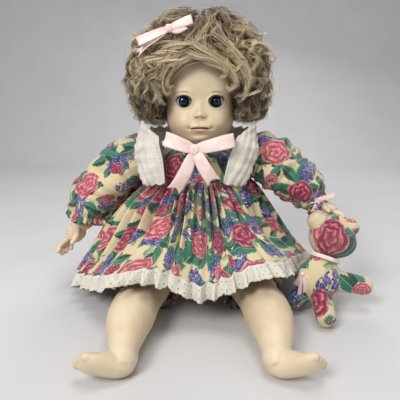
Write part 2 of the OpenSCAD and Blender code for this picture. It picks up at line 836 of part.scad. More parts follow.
// Speaker with a pressed basket, a cone and a magnet
module speaker() {
    color("#3a3b3d")
        translate([speaker_at[0], speaker_y, speaker_at[1]])
            rotate([-90, 0, 0])
                rotate_extrude($fn = 96)
                    polygon([
                        [0, 5], [6, 3], [8, 9], [speaker_r - 4, 1.5], [speaker_r - 2.5, 2],
                        [speaker_r - 2, 0],
                        [speaker_r, 0], [speaker_r, 1.6], [speaker_r - 3, 3], [13, 12], [14, 12],
                        [14, 18], [0, 18]
                    ]);
}

board_y = 4.4;
board_t = 1.6;
box_wall = 1.6;
box_y = panel_in - 2 * cell_r - 1 - box_wall;
board_posts = [for (x = [-1, 1], z = [bay_z + 4, bay_z + bay_h - 4]) [x * (bay_w / 2 - 4), z]];

module circuit_board() {
    color("#3c6b3a")
        difference() {
            translate([-bay_w / 2 - 3, board_y, bay_z - 1]) cube([bay_w + 6, board_t, bay_h + 2]);
            for (at = board_posts) bar_y(board_y - 1, board_y + board_t + 1, at, 1.2, 24);
        }
}

// What is soldered to the board: sound chip, driver chips, capacitors and the button's switch
module board_parts() {
    color("#26282b") {
        for (part = [[-24, 96, 12, 12], [14, 92, 10, 7], [14, 122, 10, 7]])
            translate([part[0], board_y - 2, part[1]]) cube([part[2], 2, part[3]]);
        for (at = [[-14, 130], [-3, 131]]) bar_y(board_y - 9, board_y, at, 4, 32);
        translate([button_at[0] - 3, board_y - 1.4, button_at[1] - 3]) cube([6, 1.4, 6]);
    }
}

// Open box behind the door, with posts that carry the board
module battery_box() {
    color("#2f3133")
        difference() {
            union() {
                translate([-bay_w / 2 - box_wall, box_y, bay_z - box_wall])
                    cube([bay_w + 2 * box_wall, panel_in - box_y, bay_h + 2 * box_wall]);
                for (at = board_posts) bar_y(board_y + board_t, box_y + 0.5, at, 2.6, 24);
            }
            translate([-bay_w / 2, box_y + box_wall, bay_z]) cube([bay_w, 60, bay_h]);
            for (at = board_posts) bar_y(board_y, box_y + 1, at, 1.2, 24);
        }
}

function cell_z(i) = bay_z + cell_r + 0.25 + i * cell_pitch;
cell_y = panel_in - cell_r - 0.8;

module battery_cells() {
    color("#6d7073")
        for (i = [0 : cells - 1])
            mirror([i % 2, 0, 0]) {
                bar_x(-cell_l / 2, cell_l / 2 - 1, [cell_y, cell_z(i)], cell_r, 64);
                bar_x(cell_l / 2 - 1, cell_l / 2 + 0.5, [cell_y, cell_z(i)], 2.6, 32);
            }
}

// Coned contact springs, coil by coil, and the flat contacts at the other ends
module battery_springs() {
    wire = 0.5;
    coils = 4;
    rise = (bay_w - cell_l) / 2 / coils;
    color("#c3c6c8")
        for (i = [0 : cells - 1])
            mirror([i % 2, 0, 0])
                translate([0, cell_y, cell_z(i)]) rotate([0, 90, 0]) {
                    for (k = [0 : coils - 1])
                        translate([0, 0, -bay_w / 2 + rise * (k + 0.5)])
                            rotate_extrude($fn = 48)
                                translate([5.5 - k * 0.9, 0]) circle(r = wire, $fn = 16);
                    translate([5.5, 0, -bay_w / 2])
                        rotate([0, -atan2(2.7, rise * (coils - 1)), 0])
                            cylinder(r = 0.4, h = rise * coils, $fn = 16);
                    translate([-4, -4, cell_l / 2 + 0.5]) cube([8, 8, bay_w / 2 - cell_l / 2 - 0.5]);
                }
}

module battery_door() {
    gap = play / 2;
    color("#cbb791")
        difference() {
            union() {
                translate([-door_w / 2 + gap, panel_y - door_t, door_z + gap])
                    cube([door_w - 2 * gap, door_t, door_h - 2 * gap]);
                // Grip ribs
                for (i = [0 : 4])
                    translate([-10, panel_y - 0.1, door_z + 6 + i * 3]) cube([20, 0.9, 1.2]);
            }
            bar_y(0, 60, [0, door_z + door_h - 3], screw_r + 0.1, 24);
        }
}

// Four case screws from behind and the door's screw
module case_screws() {
    color("#8d9093") {
        for (at = case_screw_at) screw_y(at, -screw_l, screw_l, 1);
        screw_y([0, door_z + door_h - 3], panel_in, panel_y, 1);
    }
}

// Plain bearing rings of the four limb shafts
module limb_bushings() {
    color("#e8e6df")
        for (side = [0, 1])
            mirror([side, 0, 0]) {
                difference() {
                    bar_x(shoulder_x - shoulder_bush, shoulder_x, [0, shoulder_z], joint_r + bush_t, 64);
                    bar_x(0, shoulder_x + 2, [0, shoulder_z], joint_r + run_gap, 64);
                }
                difference() {
                    bar_x(hip_x - hip_bush, hip_x, [hip_y, hip_z], joint_r + bush_t, 64);
                    bar_x(0, hip_x + 2, [hip_y, hip_z], joint_r + run_gap, 64);
                }
            }
}

// Slide knob with its guide plate behind the panel
module power_switch() {
    color("#1e1f21")
        union() {
            translate([switch_at[0] - switch_w / 2 - 2, panel_in - 1.9, switch_at[1] - 4.2])
                cube([switch_w + 4, 1.5, 8.4]);
            difference() {
                translate([switch_at[0] - switch_w / 2, panel_in - 1, switch_at[1] - switch_h / 2])
                    cube([switch_w, panel_t + 2.5, switch_h]);
                for (x = [-1.5, 0, 1.5])
                    translate([switch_at[0] + x - 0.25, panel_y + 1, switch_at[1] - switch_h])
                        cube([0.5, 2, 2 * switch_h]);
            }
        }
}

// Thumb wheel with a notched rim
module volume_dial() {
    notches = 24;
    color("#1e1f21")
        translate(dial_at + [0, 0, -1.6])
            difference() {
                cylinder(r = dial_r, h = 3.2, $fn = 96);
                translate([0, 0, -1]) cylinder(r = 2 + run_gap, h = 6, $fn = 48);
                for (i = [0 : notches - 1])
                    rotate([0, 0, i * 360 / notches]) translate([dial_r + 0.35, 0, -1])
                        cylinder(r = 0.8, h = 6, $fn = 16);
            }
}

// Push button in the belly: cap, flange behind the bore and a stem to the board's switch
module belly_button() {
    flange_y = -chest_d + button_boss + play;
    color("#d98f8a") {
        bar_y(-chest_d - 1, flange_y + 0.5, button_at, button_r, 64);
        bar_y(flange_y, flange_y + 2, button_at, button_r + 1.5, 64);
        bar_y(flange_y + 1, board_y - 1.4 - button_travel - 0.3, button_at, 3, 32);
    }
}

// ---- Limbs -------------------------------------------------------------------------------------------

limb_gap = play;
disc_t = 4;
neck_l = 3.5;
vent_r = 3;

// Joint disc that fills a pocket in the limb, with a shaft and a split snap head inside the torso
module limb_joint(face_x, bush_l, disc_r, at) {
    head_x = face_x - bush_l - play;
    difference() {
        union() {
            bar_x(face_x + limb_gap, face_x + limb_gap + disc_t, at, disc_r, 64);
            bar_x(head_x - neck_l, face_x + limb_gap + 1, at, joint_r, 96);
            bar_x(head_x - neck_l, head_x, at, joint_r + 1.2, 64);
        }
        translate([head_x - neck_l - 1, at[0] - 0.8, at[1] - joint_r - 2])
            cube([neck_l + 0.8, 1.6, 2 * joint_r + 4]);
    }
}

shoulder_at = [0, shoulder_z];
hip_at = [hip_y, hip_z];
arm_face = shoulder_x + limb_gap;
leg_face = hip_x + limb_gap;

// Arm stations: place, side radius, up radius, with z measured from the shoulder axis. The right hand
// rests by the hip, the left one on the bear
arm_root = [
    [arm_face, 0, 0, arm_r, arm_r], [arm_face + 6, 0, 0, arm_r + 0.5, arm_r + 0.5]
];
arm_right_form = concat(arm_root, [
    [84, -2, -6, 18, 18], [106, -6, -24, 16.5, 16.5], [127, -10, -47, 15.5, 15.5],
    [146, -15, -69, 13.5, 13.5],
    [160, -20, -86, 10.5, 10], [170, -26, -96, 13, 8], [179, -34, -104, 13.5, 7.5],
    [184, -38, -108, 11, 5.5]
]);
arm_left_form = concat(arm_root, [
    [84, -2, -5, 18, 18], [104, -6, -18, 16.5, 16.5], [126, -13, -34, 15.5, 15.5],
    [147, -21, -48, 13.5, 13.5],
    [164, -29, -59, 10.5, 10], [172, -35, -62.5, 12.5, 8], [181, -41, -66, 12.5, 7.5],
    [185, -44, -68, 10, 5.5]
]);

// Fingers as knuckle, middle joint and tip, from the little finger to the forefinger, then the thumb
finger_r = 4.2;
right_fingers = [
    [[176, -27, -104], [184, -35, -115], [182, -43, -123]],
    [[179, -32, -107], [189, -41, -117], [187, -50, -125]],
    [[183, -38, -109], [192, -48, -118], [190, -57, -125]],
    [[185, -44, -108], [193, -54, -114], [193, -63, -119]],
    [[172, -36, -96], [171, -49, -102], [175, -57, -109]]
];
left_fingers = [
    [[180, -34, -70], [189, -37, -74], [196, -44, -78]],
    [[183, -39, -69], [192, -44, -73], [197, -53, -77]],
    [[184, -44, -69], [192, -51, -72], [196, -60, -74]],
    [[183, -49, -68], [189, -57, -69], [189, -66, -69]],
    [[171, -41, -62], [168, -53, -60], [170, -63, -62]]
];

// Hollow of a moulded limb, drawn in from its stations; it starts clear of the seat of the joint's disc
module limb_hollow(form, up, face_x, at, n) {
    seat_x = face_x + disc_t + limb_wall;
    difference() {
        skin(tube_rings([for (s = form) [s[0], s[1], s[2], s[3] - limb_wall, s[4] - limb_wall]], up, n));
        translate([seat_x - 200, -300, -300]) cube([200, 600, 600]);
    }
    bar_x(face_x, seat_x + 4, at, vent_r, 32);
}

module arm(form, fingers, up) {
    difference() {
        skin(tube_rings(smooth(form, 2), up, 14));
        limb_hollow([for (i = [1 : 6]) form[i]], up, arm_face, [0, 0], 12);
        bar_x(arm_face - 1, arm_face + disc_t, [0, 0], arm_r - 2, 64);
        translate([0, -60, -60]) cube([arm_face, 120, 120]);
    }
    for (f = fingers)
        skin(tube_rings([
            for (s = smooth([for (p = [0 : 2]) [each f[p], finger_r - p * 0.5, finger_r - p * 0.6]], 2))
                s, [each (f[2] + 2.6 * unit(f[2] - f[1])), 1.4, 1.2]
        ], [0, -0.4, 1], 8));
}

module arm_right() {
    color("#ddc9a4")
        translate([0, 0, shoulder_z]) mirror([1, 0, 0])
            arm(arm_right_form, right_fingers, [-0.6, 0.4, 0.5]);
}

module arm_left() {
    color("#ddc9a4")
        translate([0, 0, shoulder_z]) arm(arm_left_form, left_fingers, [0.3, 0.3, 1]);
}

module arm_joint_right() {
    color("#c8ccd0") mirror([1, 0, 0]) limb_joint(shoulder_x, shoulder_bush, arm_r - 2, shoulder_at);
}

module arm_joint_left() {
    color("#c8ccd0") limb_joint(shoulder_x, shoulder_bush, arm_r - 2, shoulder_at);
}

// Leg stations; the thigh is round about the hip and the foot turns out
leg_root = leg_face + 1;
leg_form = [
    [hip_x + 31, 18, hip_z, 14, 19], [hip_x + 32, 10, hip_z, 24, 27],
    [hip_x + 33, -10, hip_z, 31, thigh_r],
    [hip_x + 38, -34, hip_z - 1, 32, thigh_r], [hip_x + 46, -68, 35, 31, 31.5],
    [hip_x + 54, -104, 32, 28, 28],
    [hip_x + 58, -126, 30, 25.5, 26.5], [hip_x + 62, -150, 29.5, 27, 27.5],
    [hip_x + 64, -172, 28, 25.5, 26],
    [hip_x + 64, -194, 24, 20, 20.5], [hip_x + 63, -210, 20, 15.5, 16.5], [hip_x + 62, -222, 17, 15, 16],
    [hip_x + 61, -232, 15, 9, 10]
];
foot_form = [
    [hip_x + 53, -217, 11, 7, 7], [hip_x + 58, -220, 12.5, 12, 11.5], [hip_x + 67, -224, 15, 13.5, 13.5],
    [hip_x + 77, -229, 19, 14, 12], [hip_x + 86, -234, 23, 14.5, 9.5], [hip_x + 93, -237, 26.5, 14, 7.5],
    [hip_x + 98, -239, 29, 9, 4.5]
];
// Middles of the big and the little toe, and the radii of the five between them
big_toe = [hip_x + 88, -241, 37];
little_toe = [hip_x + 103, -231, 18.5];
toe_sizes = [5.8, 4.5, 4.2, 3.9, 3.6];

module leg() {
    difference() {
        union() {
            skin(tube_rings(smooth(leg_form, 1), [0, 0, 1], 20));
            skin(tube_rings(smooth(foot_form, 1), [0.3, 0.8, 0.6], 14));
            // Toes in an arc across the front of the foot, the big one uppermost
            for (i = [0 : 4])
                translate(big_toe + (little_toe - big_toe) * i / 4 + 3 * sin(i * 45) * [0.9, -0.3, 0.35])
                    rotate([0, -20, -18]) scale([1.5, 1, 1]) sphere(toe_sizes[i], $fn = 10);
            bar_x(leg_face, leg_face + 20, hip_at, thigh_r * 0.6, 48);
        }
        limb_hollow([for (i = [1 : 9]) leg_form[i]], [0, 0, 1], leg_face, hip_at, 16);
        bar_x(leg_face - 1, leg_face + disc_t, hip_at, joint_r + 9, 64);
        translate([-100 + leg_face, -100, -100]) cube([100, 200, 300]);
        translate([-50, -300, -50]) cube([300, 500, 50]);
    }
}

module leg_left() {
    color("#e0cba6") leg();
}

module leg_right() {
    color("#e0cba6") mirror([1, 0, 0]) leg();
}

module leg_joint_left() {
    color("#c8ccd0") limb_joint(hip_x, hip_bush, joint_r + 9, hip_at);
}

module leg_joint_right() {
    color("#c8ccd0") mirror([1, 0, 0]) limb_joint(hip_x, hip_bush, joint_r + 9, hip_at);
}

// ---- Dress -------------------------------------------------------------------------------------------

// Closed shell of cloth between outer rings and the same rings drawn in by t; open at both ends
module cloth_shell(outer, inner) {
    n = len(inner);
    skin(concat(outer, [for (i = [n - 1 : -1 : 0]) inner[i]]), loop = true, back = len(outer));
}

waist_w = torso_w + 2 * waist_ease;
bodice_form = [
    [waist_z, waist_w / 2, 58, 48], [172, 61, 56, 48], [188, 54, 52, 45], [197, 46, 44, 40],
    [203, 34, 33, 30]
];

function bodice_ring(s, t) = [
    for (i = [0 : 31])
        let (p = oval(i * 360 / 32, s[1] - t, s[2] - t, s[3] - t, 2.2))
            [p[0], p[1], s[0] - (s[0] > waist_z ? t * 0.6 : 0)]
];

module bodice() {
    color("#d8c39a")
        difference() {
            cloth_shell([for (s = bodice_form) bodice_ring(s, 0)],
                [for (s = bodice_form) bodice_ring(s, cloth)]);
            both() {
                bar_x(shoulder_x, shoulder_x + 60, shoulder_at, sleeve_r - 3, 48);
                bar_x(0, shoulder_x + 2, shoulder_at, joint_r + 8.1, 48);
            }
            torso_solid(-0.2);
        }
}

// Hem line of the skirt from the doll's left side round the back, the right side and the front
hem_form = [
    [124, -66, 62], [158, -4, 44], [140, 62, 26], [88, 96, 20], [0, 106, 20], [-88, 96, 20],
    [-140, 62, 24],
    [-172, 2, 32], [-170, -52, 34], [-142, -98, 36], [-104, -138, 68], [-62, -152, 83], [-32, -150, 78],
    [0, -144, 60], [34, -150, 74], [66, -152, 86], [100, -128, 74]
];
hem_steps = 4;
hem = smooth_loop(hem_form, hem_steps);
hem_count = len(hem);
pleats = 17;

// Direction from the doll's middle at which hem point i leaves the waist
function hem_angle(i) = atan2(hem[i][1] + 22, hem[i][0] * 0.8);
function pleat(i) = sin(i * 360 * pleats / hem_count);

// Skirt point on gore i, t from the waist (0) to the hem (1), `inset` inside the surface
function skirt_point(i, t, inset) = let (
    a = hem_angle(i),
    flat = oval(a < 0 ? a + 360 : a, waist_w / 2 - inset, 58 - inset, 48 - inset, 2.2),
    top = [flat[0], flat[1], waist_z - 0.2],
    away = unit([cos(a), sin(a), 0]),
    low = hem[i] - inset * [away[0], away[1], 0.6],
    lift = max(0, min(1, (hem[i][2] - 34) / 34)),
    p1 = top + 20 * away - [0, 0, 12],
    p2 = low - (44 + 26 * lift) * away + [0, 0, 58 - 28 * lift],
    u = 1 - t
) u * u * u * top + 3 * u * u * t * p1 + 3 * u * t * t * p2 + t * t * t * low
    + (2.2 * t * (1 - t) + 1.8 * t) * pleat(i) * away;

module skirt() {
    drop = [1, 0.55, 0.2, 0];
    outer = [for (t = drop) [for (i = [0 : hem_count - 1]) skirt_point(i, t, 0)]];
    inner = [for (t = drop) [for (i = [0 : hem_count - 1]) skirt_point(i, t, cloth)]];
    color("#cfb991") cloth_shell(outer, inner);
}

// Gathered eyelet ruffle sewn under the hem
ruffle_waves = 34;

module hem_ruffle() {
    n = hem_count;
    thick = 1.6;
    function ruffle_point(i, t, inset) = let (
        a = hem_angle(i),
        away = unit([cos(a), sin(a), 0]),
        wave = (i % 2 == 0 ? 1 : -1) * 2.6 * t
    ) skirt_point(i, 1, inset) + (5 * t + wave) * away - [0, 0, 0.6 + ruffle_h * t - inset * 0.3];
    color("#efe9dc")
        cloth_shell([for (t = [1, 0]) [for (i = [0 : n - 1]) ruffle_point(i, t, 0)]],
            [for (t = [1, 0]) [for (i = [0 : n - 1]) ruffle_point(i, t, thick)]]);
}

// Sleeve stations: place and radius, from the armhole to the open cuff
sleeve_right_form = [
    [57, 0, shoulder_z, 22], [66, 0, shoulder_z + 0.5, 27], [84, -2, shoulder_z + 2, sleeve_r - 3],
    [106, -5, 176, sleeve_r], [128, -8, 159, sleeve_r + 1], [146, -12, 136, sleeve_r],
    [156, -16, 114, sleeve_r - 2],
    [160, -18, 97, sleeve_r - 5]
];
sleeve_left_form = [
    [57, 0, shoulder_z, 22], [66, 0, shoulder_z + 0.5, 27], [84, -2, shoulder_z + 2, sleeve_r - 3],
    [104, -6, 179, sleeve_r], [124, -11, 166, sleeve_r], [143, -18, 149, sleeve_r - 3],
    [156, -25, 135, sleeve_r - 10],
    [163, -29, 128, 14]
];

module sleeve(form) {
    outer = tube_rings([for (s = smooth(form, 1)) [s[0], s[1], s[2], s[3], s[3]]], [0, 1, 0.2], 20);
    inner = tube_rings([for (s = form) [s[0], s[1], s[2], s[3] - cloth, s[3] - cloth]], [0, 1, 0.2], 20);
    difference() {
        cloth_shell(outer, inner);
        translate([0, -60, shoulder_z - 60]) cube([shoulder_x + 2.4, 120, 120]);
    }
}

module sleeve_right() {
    color("#cfb991") mirror([1, 0, 0]) sleeve(sleeve_right_form);
}

module sleeve_left() {
    color("#cfb991") sleeve(sleeve_left_form);
}

// Satin band tied round the gathered left cuff, with a bow
module cuff_ribbon() {
    cuff = sleeve_left_form[6];
    end = sleeve_left_form[7];
    a = [cuff[0], cuff[1], cuff[2]];
    b = [end[0], end[1], end[2]];
    d = unit(b - a);
    color("#f2d2ca") {
        skin([
            for (k = [[0, 0.3], [0, 1.8], [6, 1.8], [6, 0.3]])
                ring(b + (k[0] - 7) * d, d, [0, 1, 0.2], 14.4 + k[1], 14.4 + k[1], 24)
        ], loop = true);
        translate(b + [2, -17.5, 8]) rotate([0, 30, 10]) {
            bow_loop(22, 11, 6, ribbon_t);
            mirror([1, 0, 0]) bow_loop(22, 11, 6, ribbon_t);
            rotate([90, 0, 0]) cylinder(r = 3.5, h = 7, center = true, $fn = 32);
        }
    }
}

// Collar wing: stations of height, inner edge x and y, outer edge x and y
wing_form = [
    [164, 52, -66, 72, -55], [172, 44, -67, 82, -47], [186, 42, -66, 88, -43], [200, 42, -64, 90, -41],
    [214, 45, -60, 90, -40], [226, 58, -50, 88, -38], [235, 76, -41, 84, -37]
];

module collar_wing() {
    t = cloth / 2;
    rows = smooth(wing_form, 2);
    skin([
        for (i = [0 : len(rows) - 1])
            let (
                s = rows[i],
                a = [s[1], s[2]],
                b = [s[3], s[4]],
                belly = i == 0 || i == len(rows) - 1 ? 0 : norm(b - a),
                m = (a + b) / 2 + belly * [0.05, -0.12]
            )
                [
                    for (p = [a, (a + 2 * m) / 3, m, (b + 2 * m) / 3, b]) [p[0], p[1] - t, s[0]],
                    for (p = [b, (b + 2 * m) / 3, m, (a + 2 * m) / 3, a]) [p[0], p[1] + t, s[0]]
                ]
    ]);
}

module collar() {
    color("#efe9dc") {
        both() collar_wing();
    }
}

bow_y = -72;
bow_z = 211;

// Neck bow: two loops, a knot and two long tails
module neck_bow() {
    color("#f2d2ca") {
        translate([0, bow_y, bow_z]) {
            rotate([0, -6, 4]) bow_loop(50, 20, 9, ribbon_t);
            rotate([0, 186, -4]) bow_loop(42, 20, 9, ribbon_t);
            rotate([90, 0, 0]) cylinder(r = 6, h = 11, center = true, $fn = 40);
            translate([0, 2, -4]) rotate([0, 118, 0]) bow_tail(60, 11, ribbon_t);
            translate([0, 3.4, -4]) rotate([0, 52, 0]) bow_tail(54, 11, ribbon_t);
        }
    }
}

// Bloomers: a seat under the torso and one leg round each thigh
bloomer_t = 3;
bloomer_r = thigh_r + bloomer_t;

module bloomer_seat() {
    color("#cfb991")
        difference() {
            intersection() {
                translate([0, 18, 55]) sphere(62, $fn = 64);
                translate([-100, -44, 0]) cube([200, 200, 66]);
            }
            both() {
                bar_x(hip_x - 5 * play, 120, hip_at, bloomer_r + 2 * play, 64);
                translate([hip_x - 5 * play, hip_y - 60, -1])
                    cube([120, 60 + bloomer_r + 2 * play, hip_z + 1]);
                translate([hip_x - 5 * play, hip_y - 60, -1])
                    cube([120, 60, hip_z + bloomer_r + 2 * play]);
                bar_x(0, 30, hip_at, joint_r + 10, 64);
            }
            torso_solid(-0.05);
        }
}

bloomer_form = [
    [hip_x + 31, 16, hip_z, 22, 24], [hip_x + 32, 8, hip_z, 30, 31],
    [hip_x + 33, -10, hip_z, 34, bloomer_r - 0.5],
    [hip_x + 37, -34, hip_z, 35, bloomer_r - 1], [hip_x + 42, -56, 37, 34.5, 35],
    [hip_x + 46, -74, 36, 33.5, 34]
];

module bloomer_leg() {
    difference() {
        cloth_shell(
            tube_rings(bloomer_form, [0, 0, 1], 20),
            tube_rings([for (s = bloomer_form) [s[0], s[1], s[2], s[3] - 1.6, s[4] - 1.6]], [0, 0, 1], 20)
        );
        translate([-100 + leg_face, -100, -100]) cube([100, 200, 300]);
        translate([-50, -300, -50]) cube([300, 500, 50]);
        bar_x(leg_face - 1, leg_face + 20, hip_at, thigh_r * 0.6, 48);
    }
}

module bloomer_leg_left() {
    color("#cfb991") bloomer_leg();
}

module bloomer_leg_right() {
    color("#cfb991") mirror([1, 0, 0]) bloomer_leg();
}

// ---- Stuffed bear ------------------------------------------------------------------------------------

bear_body_at = [154, -90, 40];
bear_head_at = bear_body_at + [19, 19, 52];
muzzle_at = bear_head_at + [12, -18, -4];

module bear_head() {
    color("#c9606c")
        union() {
            translate(bear_head_at) sphere(bear_head_r, $fn = 48);
            translate(muzzle_at) sphere(bear_head_r * 0.5, $fn = 32);
        }
}

module bear_ears() {
    color("#d8c39a")
        for (at = [[1.02, -0.06, 0.57], [-0.88, 0.04, 0.88]])
            difference() {
                translate(bear_head_at + bear_head_r * at) rotate([0, 0, 90])
                    sphere(bear_head_r * 0.34, $fn = 32);
                translate(bear_head_at) rotate([0, 0, 90]) sphere(bear_head_r, $fn = 48);
            }
}

module bear_body() {
    color("#2f6b58")
        difference() {
            translate(bear_body_at) sphere(bear_body_r, $fn = 48);
            translate(bear_head_at) sphere(bear_head_r, $fn = 48);
            translate(muzzle_at) sphere(bear_head_r * 0.5, $fn = 32);
        }
}

// Limb from a to b, both measured from the middle of the body
module bear_limb(a, b) {
    difference() {
        capsule(bear_body_at + a, bear_body_at + b, bear_limb_r);
        translate(bear_body_at) sphere(bear_body_r + 0.1, $fn = 48);
    }
}

module bear_arms() {
    color("#d8c39a") {
        bear_limb([22, -4, 0], [60, -12, -5]);
        bear_limb([6, 18, -4], [14, 46, 0]);
    }
}

module bear_legs() {
    color("#2f6b58") {
        bear_limb([-1, -18, -10], [-4, -56, -28]);
        bear_limb([-16, -6, -12], [-35, -14, -28]);
    }
}

// Ribbon at the bear's neck
module bear_ribbons() {
    d = unit(bear_head_at - bear_body_at);
    c = bear_body_at + 28 * d;
    color("#f2d2ca")
        difference() {
            skin([
                for (k = [[0, 16], [0, 22], [6, 22], [6, 16]])
                    ring(c + (k[0] - 3) * d, d, [0, 1, 0.2], k[1], k[1], 24)
            ], loop = true);
            translate(bear_head_at) sphere(bear_head_r, $fn = 48);
            translate(muzzle_at) sphere(bear_head_r * 0.5, $fn = 32);
            translate(bear_body_at) sphere(bear_body_r, $fn = 48);
        }
}

face_shell();
scalp_shell();
hair();
hair_ribbon();
head_frame();
eye_motor();
jaw_motor();
jaw_pin();
head_screws();
eyeballs();
irises();
eyelids();
eye_shaft();
eye_gear();
eye_pinion();
jaw_lever();
lower_lip();
jaw_pinion();
torso_front();
torso_back();
neck_post();
speaker();
circuit_board();
board_parts();
battery_box();
battery_cells();
battery_springs();
battery_door();
case_screws();
limb_bushings();
power_switch();
volume_dial();
belly_button();
bodice();
skirt();
hem_ruffle();
collar();
neck_bow();
bloomer_seat();
arm_right();
arm_joint_right();
sleeve_right();
arm_left();
arm_joint_left();
sleeve_left();
cuff_ribbon();
leg_right();
leg_joint_right();
bloomer_leg_right();
leg_left();
leg_joint_left();
bloomer_leg_left();
bear_head();
bear_ears();
bear_body();
bear_arms();
bear_legs();
bear_ribbons();
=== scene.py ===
# %% [markdown]
# A seated vinyl baby doll. Its mechanism, joints and sizes come from the CAD frame, and this lesson
# dresses it: a smooth vinyl skin, glass-like eyes, curled hair, a floral dress, eyelet lace, satin
# bows and a stuffed bear. Every length below is in millimetres and is turned into metres once, where
# a mesh is made.

# %% Load the frame
import bpy, bmesh, math, json
import numpy as np
from mathutils import Euler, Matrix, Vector


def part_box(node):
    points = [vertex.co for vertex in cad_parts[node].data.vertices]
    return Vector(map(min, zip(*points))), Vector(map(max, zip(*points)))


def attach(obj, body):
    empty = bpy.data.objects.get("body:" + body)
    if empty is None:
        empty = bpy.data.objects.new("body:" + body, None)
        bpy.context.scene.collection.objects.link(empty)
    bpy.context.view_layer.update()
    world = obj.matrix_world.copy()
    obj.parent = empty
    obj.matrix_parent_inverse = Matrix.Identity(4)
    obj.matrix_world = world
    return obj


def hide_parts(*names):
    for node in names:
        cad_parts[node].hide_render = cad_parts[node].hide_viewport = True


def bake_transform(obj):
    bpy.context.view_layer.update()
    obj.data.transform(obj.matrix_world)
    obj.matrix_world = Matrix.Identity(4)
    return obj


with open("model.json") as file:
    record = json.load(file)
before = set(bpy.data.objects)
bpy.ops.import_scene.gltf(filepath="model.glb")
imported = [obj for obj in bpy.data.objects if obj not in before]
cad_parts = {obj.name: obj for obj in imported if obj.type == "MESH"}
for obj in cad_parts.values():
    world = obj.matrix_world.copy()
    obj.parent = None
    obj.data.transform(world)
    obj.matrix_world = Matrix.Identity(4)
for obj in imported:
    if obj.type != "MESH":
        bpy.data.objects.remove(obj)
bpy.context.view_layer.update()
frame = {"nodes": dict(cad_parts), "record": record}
MM = 0.001
rng = np.random.default_rng(7)


def low_high(node):
    """Lowest and highest corner of a CAD node, in millimetres."""
    return [np.array(corner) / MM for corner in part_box(node)]


# %% [markdown]
# The doll is seen from slightly above. The camera stands about half a metre in front and looks down
# by fifteen degrees. The room is plain: a pale floor that curves up behind the doll, one broad soft
# lamp above and to the left, and weaker ones that fill the shadows.

# %% Camera
camera = bpy.data.objects.new("camera", bpy.data.cameras.new("camera"))
camera.data.lens = 34.65
camera.data.clip_start = 0.02
camera.location = (0.0, -0.55, 0.27)
camera.rotation_euler = (math.radians(75), 0, 0)
bpy.context.scene.collection.objects.link(camera)
bpy.context.scene.camera = camera
bpy.context.scene.view_settings.view_transform = "Standard"
print("camera looks down by", 90 - math.degrees(camera.rotation_euler[0]), "degrees")

# %% [markdown]
# A surface here is a table of points worked out by numpy, with one row for each step of v and one
# column for each step of u. Quads join neighbours in the table, and a closed tube joins the last
# column to the first. The UV map is in metres of cloth, so a print or weave has one size everywhere.

# %% Mesh helpers


def quads(rows, columns, loop_u=False):
    """Corner numbers of the quads over a table of points."""
    v = np.arange(rows - 1)[:, None] * columns
    u = np.arange(columns if loop_u else columns - 1)[None, :]
    x = (u + 1) % columns
    return np.stack([v + u, v + x, v + columns + x, v + columns + u], -1).reshape(-1, 4)


def uv_corners(uv):
    """UV of the corners of every quad, from a table that has one more row and column than quads."""
    return np.stack([uv[:-1, :-1], uv[:-1, 1:], uv[1:, 1:], uv[1:, :-1]], 2).reshape(-1, 4, 2)


def build(name, points, faces, body, uv=None, material=None, slot=None):
    """Mesh object from points in mm and a list of face tables; uv holds one table for each face table."""
    faces = faces if isinstance(faces, list) else [faces]
    mesh = bpy.data.meshes.new(name)
    points = np.asarray(points, float).reshape(-1, 3) * MM
    mesh.vertices.add(len(points))
    mesh.vertices.foreach_set("co", points.astype(np.float32).ravel())
    corners = np.concatenate([f.ravel() for f in faces]).astype(np.int32)
    sizes = np.concatenate([np.full(len(f), f.shape[1]) for f in faces])
    mesh.loops.add(len(corners))
    mesh.loops.foreach_set("vertex_index", corners)
    mesh.polygons.add(len(sizes))
    mesh.polygons.foreach_set("loop_start", np.concatenate([[0], np.cumsum(sizes)[:-1]]).astype(np.int32))
    mesh.update(calc_edges=True)
    mesh.polygons.foreach_set("use_smooth", np.ones(len(sizes), bool))
    if uv is not None:
        uv = uv if isinstance(uv, list) else [uv]
        corner_uv = np.concatenate([t.reshape(-1, 2) for t in uv]).astype(np.float32)
        mesh.uv_layers.new(name="UVMap").data.foreach_set("uv", corner_uv.ravel())
    obj = bpy.data.objects.new(name, mesh)
    bpy.context.scene.collection.objects.link(obj)
    if body:
        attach(obj, body)
    if material:
        obj.data.materials.append(material)
    return obj


def grid(name, table, body, uv=None, loop_u=False, flip=False, **more):
    """Piece over a table of points (rows, columns, 3); uv has one more column where the table loops."""
    faces = quads(*table.shape[:2], loop_u)
    loops = None if uv is None else uv_corners(uv)
    if flip:
        faces = faces[:, ::-1]
        loops = None if uv is None else loops[:, ::-1]
    return build(name, table, faces, body, uv=loops, **more)


def unit(v):
    """Directions of length 1 along v."""
    return v / np.maximum(np.linalg.norm(v, axis=-1, keepdims=True), 1e-9)


def spline(stations, count, loop=False):
    """Catmull-Rom curve through the stations (n, k), sampled evenly at count places."""
    p = np.asarray(stations, float)
    n = len(p)
    t = np.arange(count) * n / count if loop else np.linspace(0, n - 1, count)
    i = t.astype(int) if loop else np.minimum(t.astype(int), n - 2)
    f = (t - i)[:, None]
    a, b, c, d = (p[(i + k) % n if loop else np.clip(i + k, 0, n - 1)] for k in (-1, 0, 1, 2))
    return 0.5 * (2 * b + (c - a) * f + (2 * a - 5 * b + 4 * c - d) * f**2 + (3 * b - a - 3 * c + d) * f**3)


def angles(count):
    """Even angles once round, from 0."""
    return np.arange(count) * 2 * np.pi / count


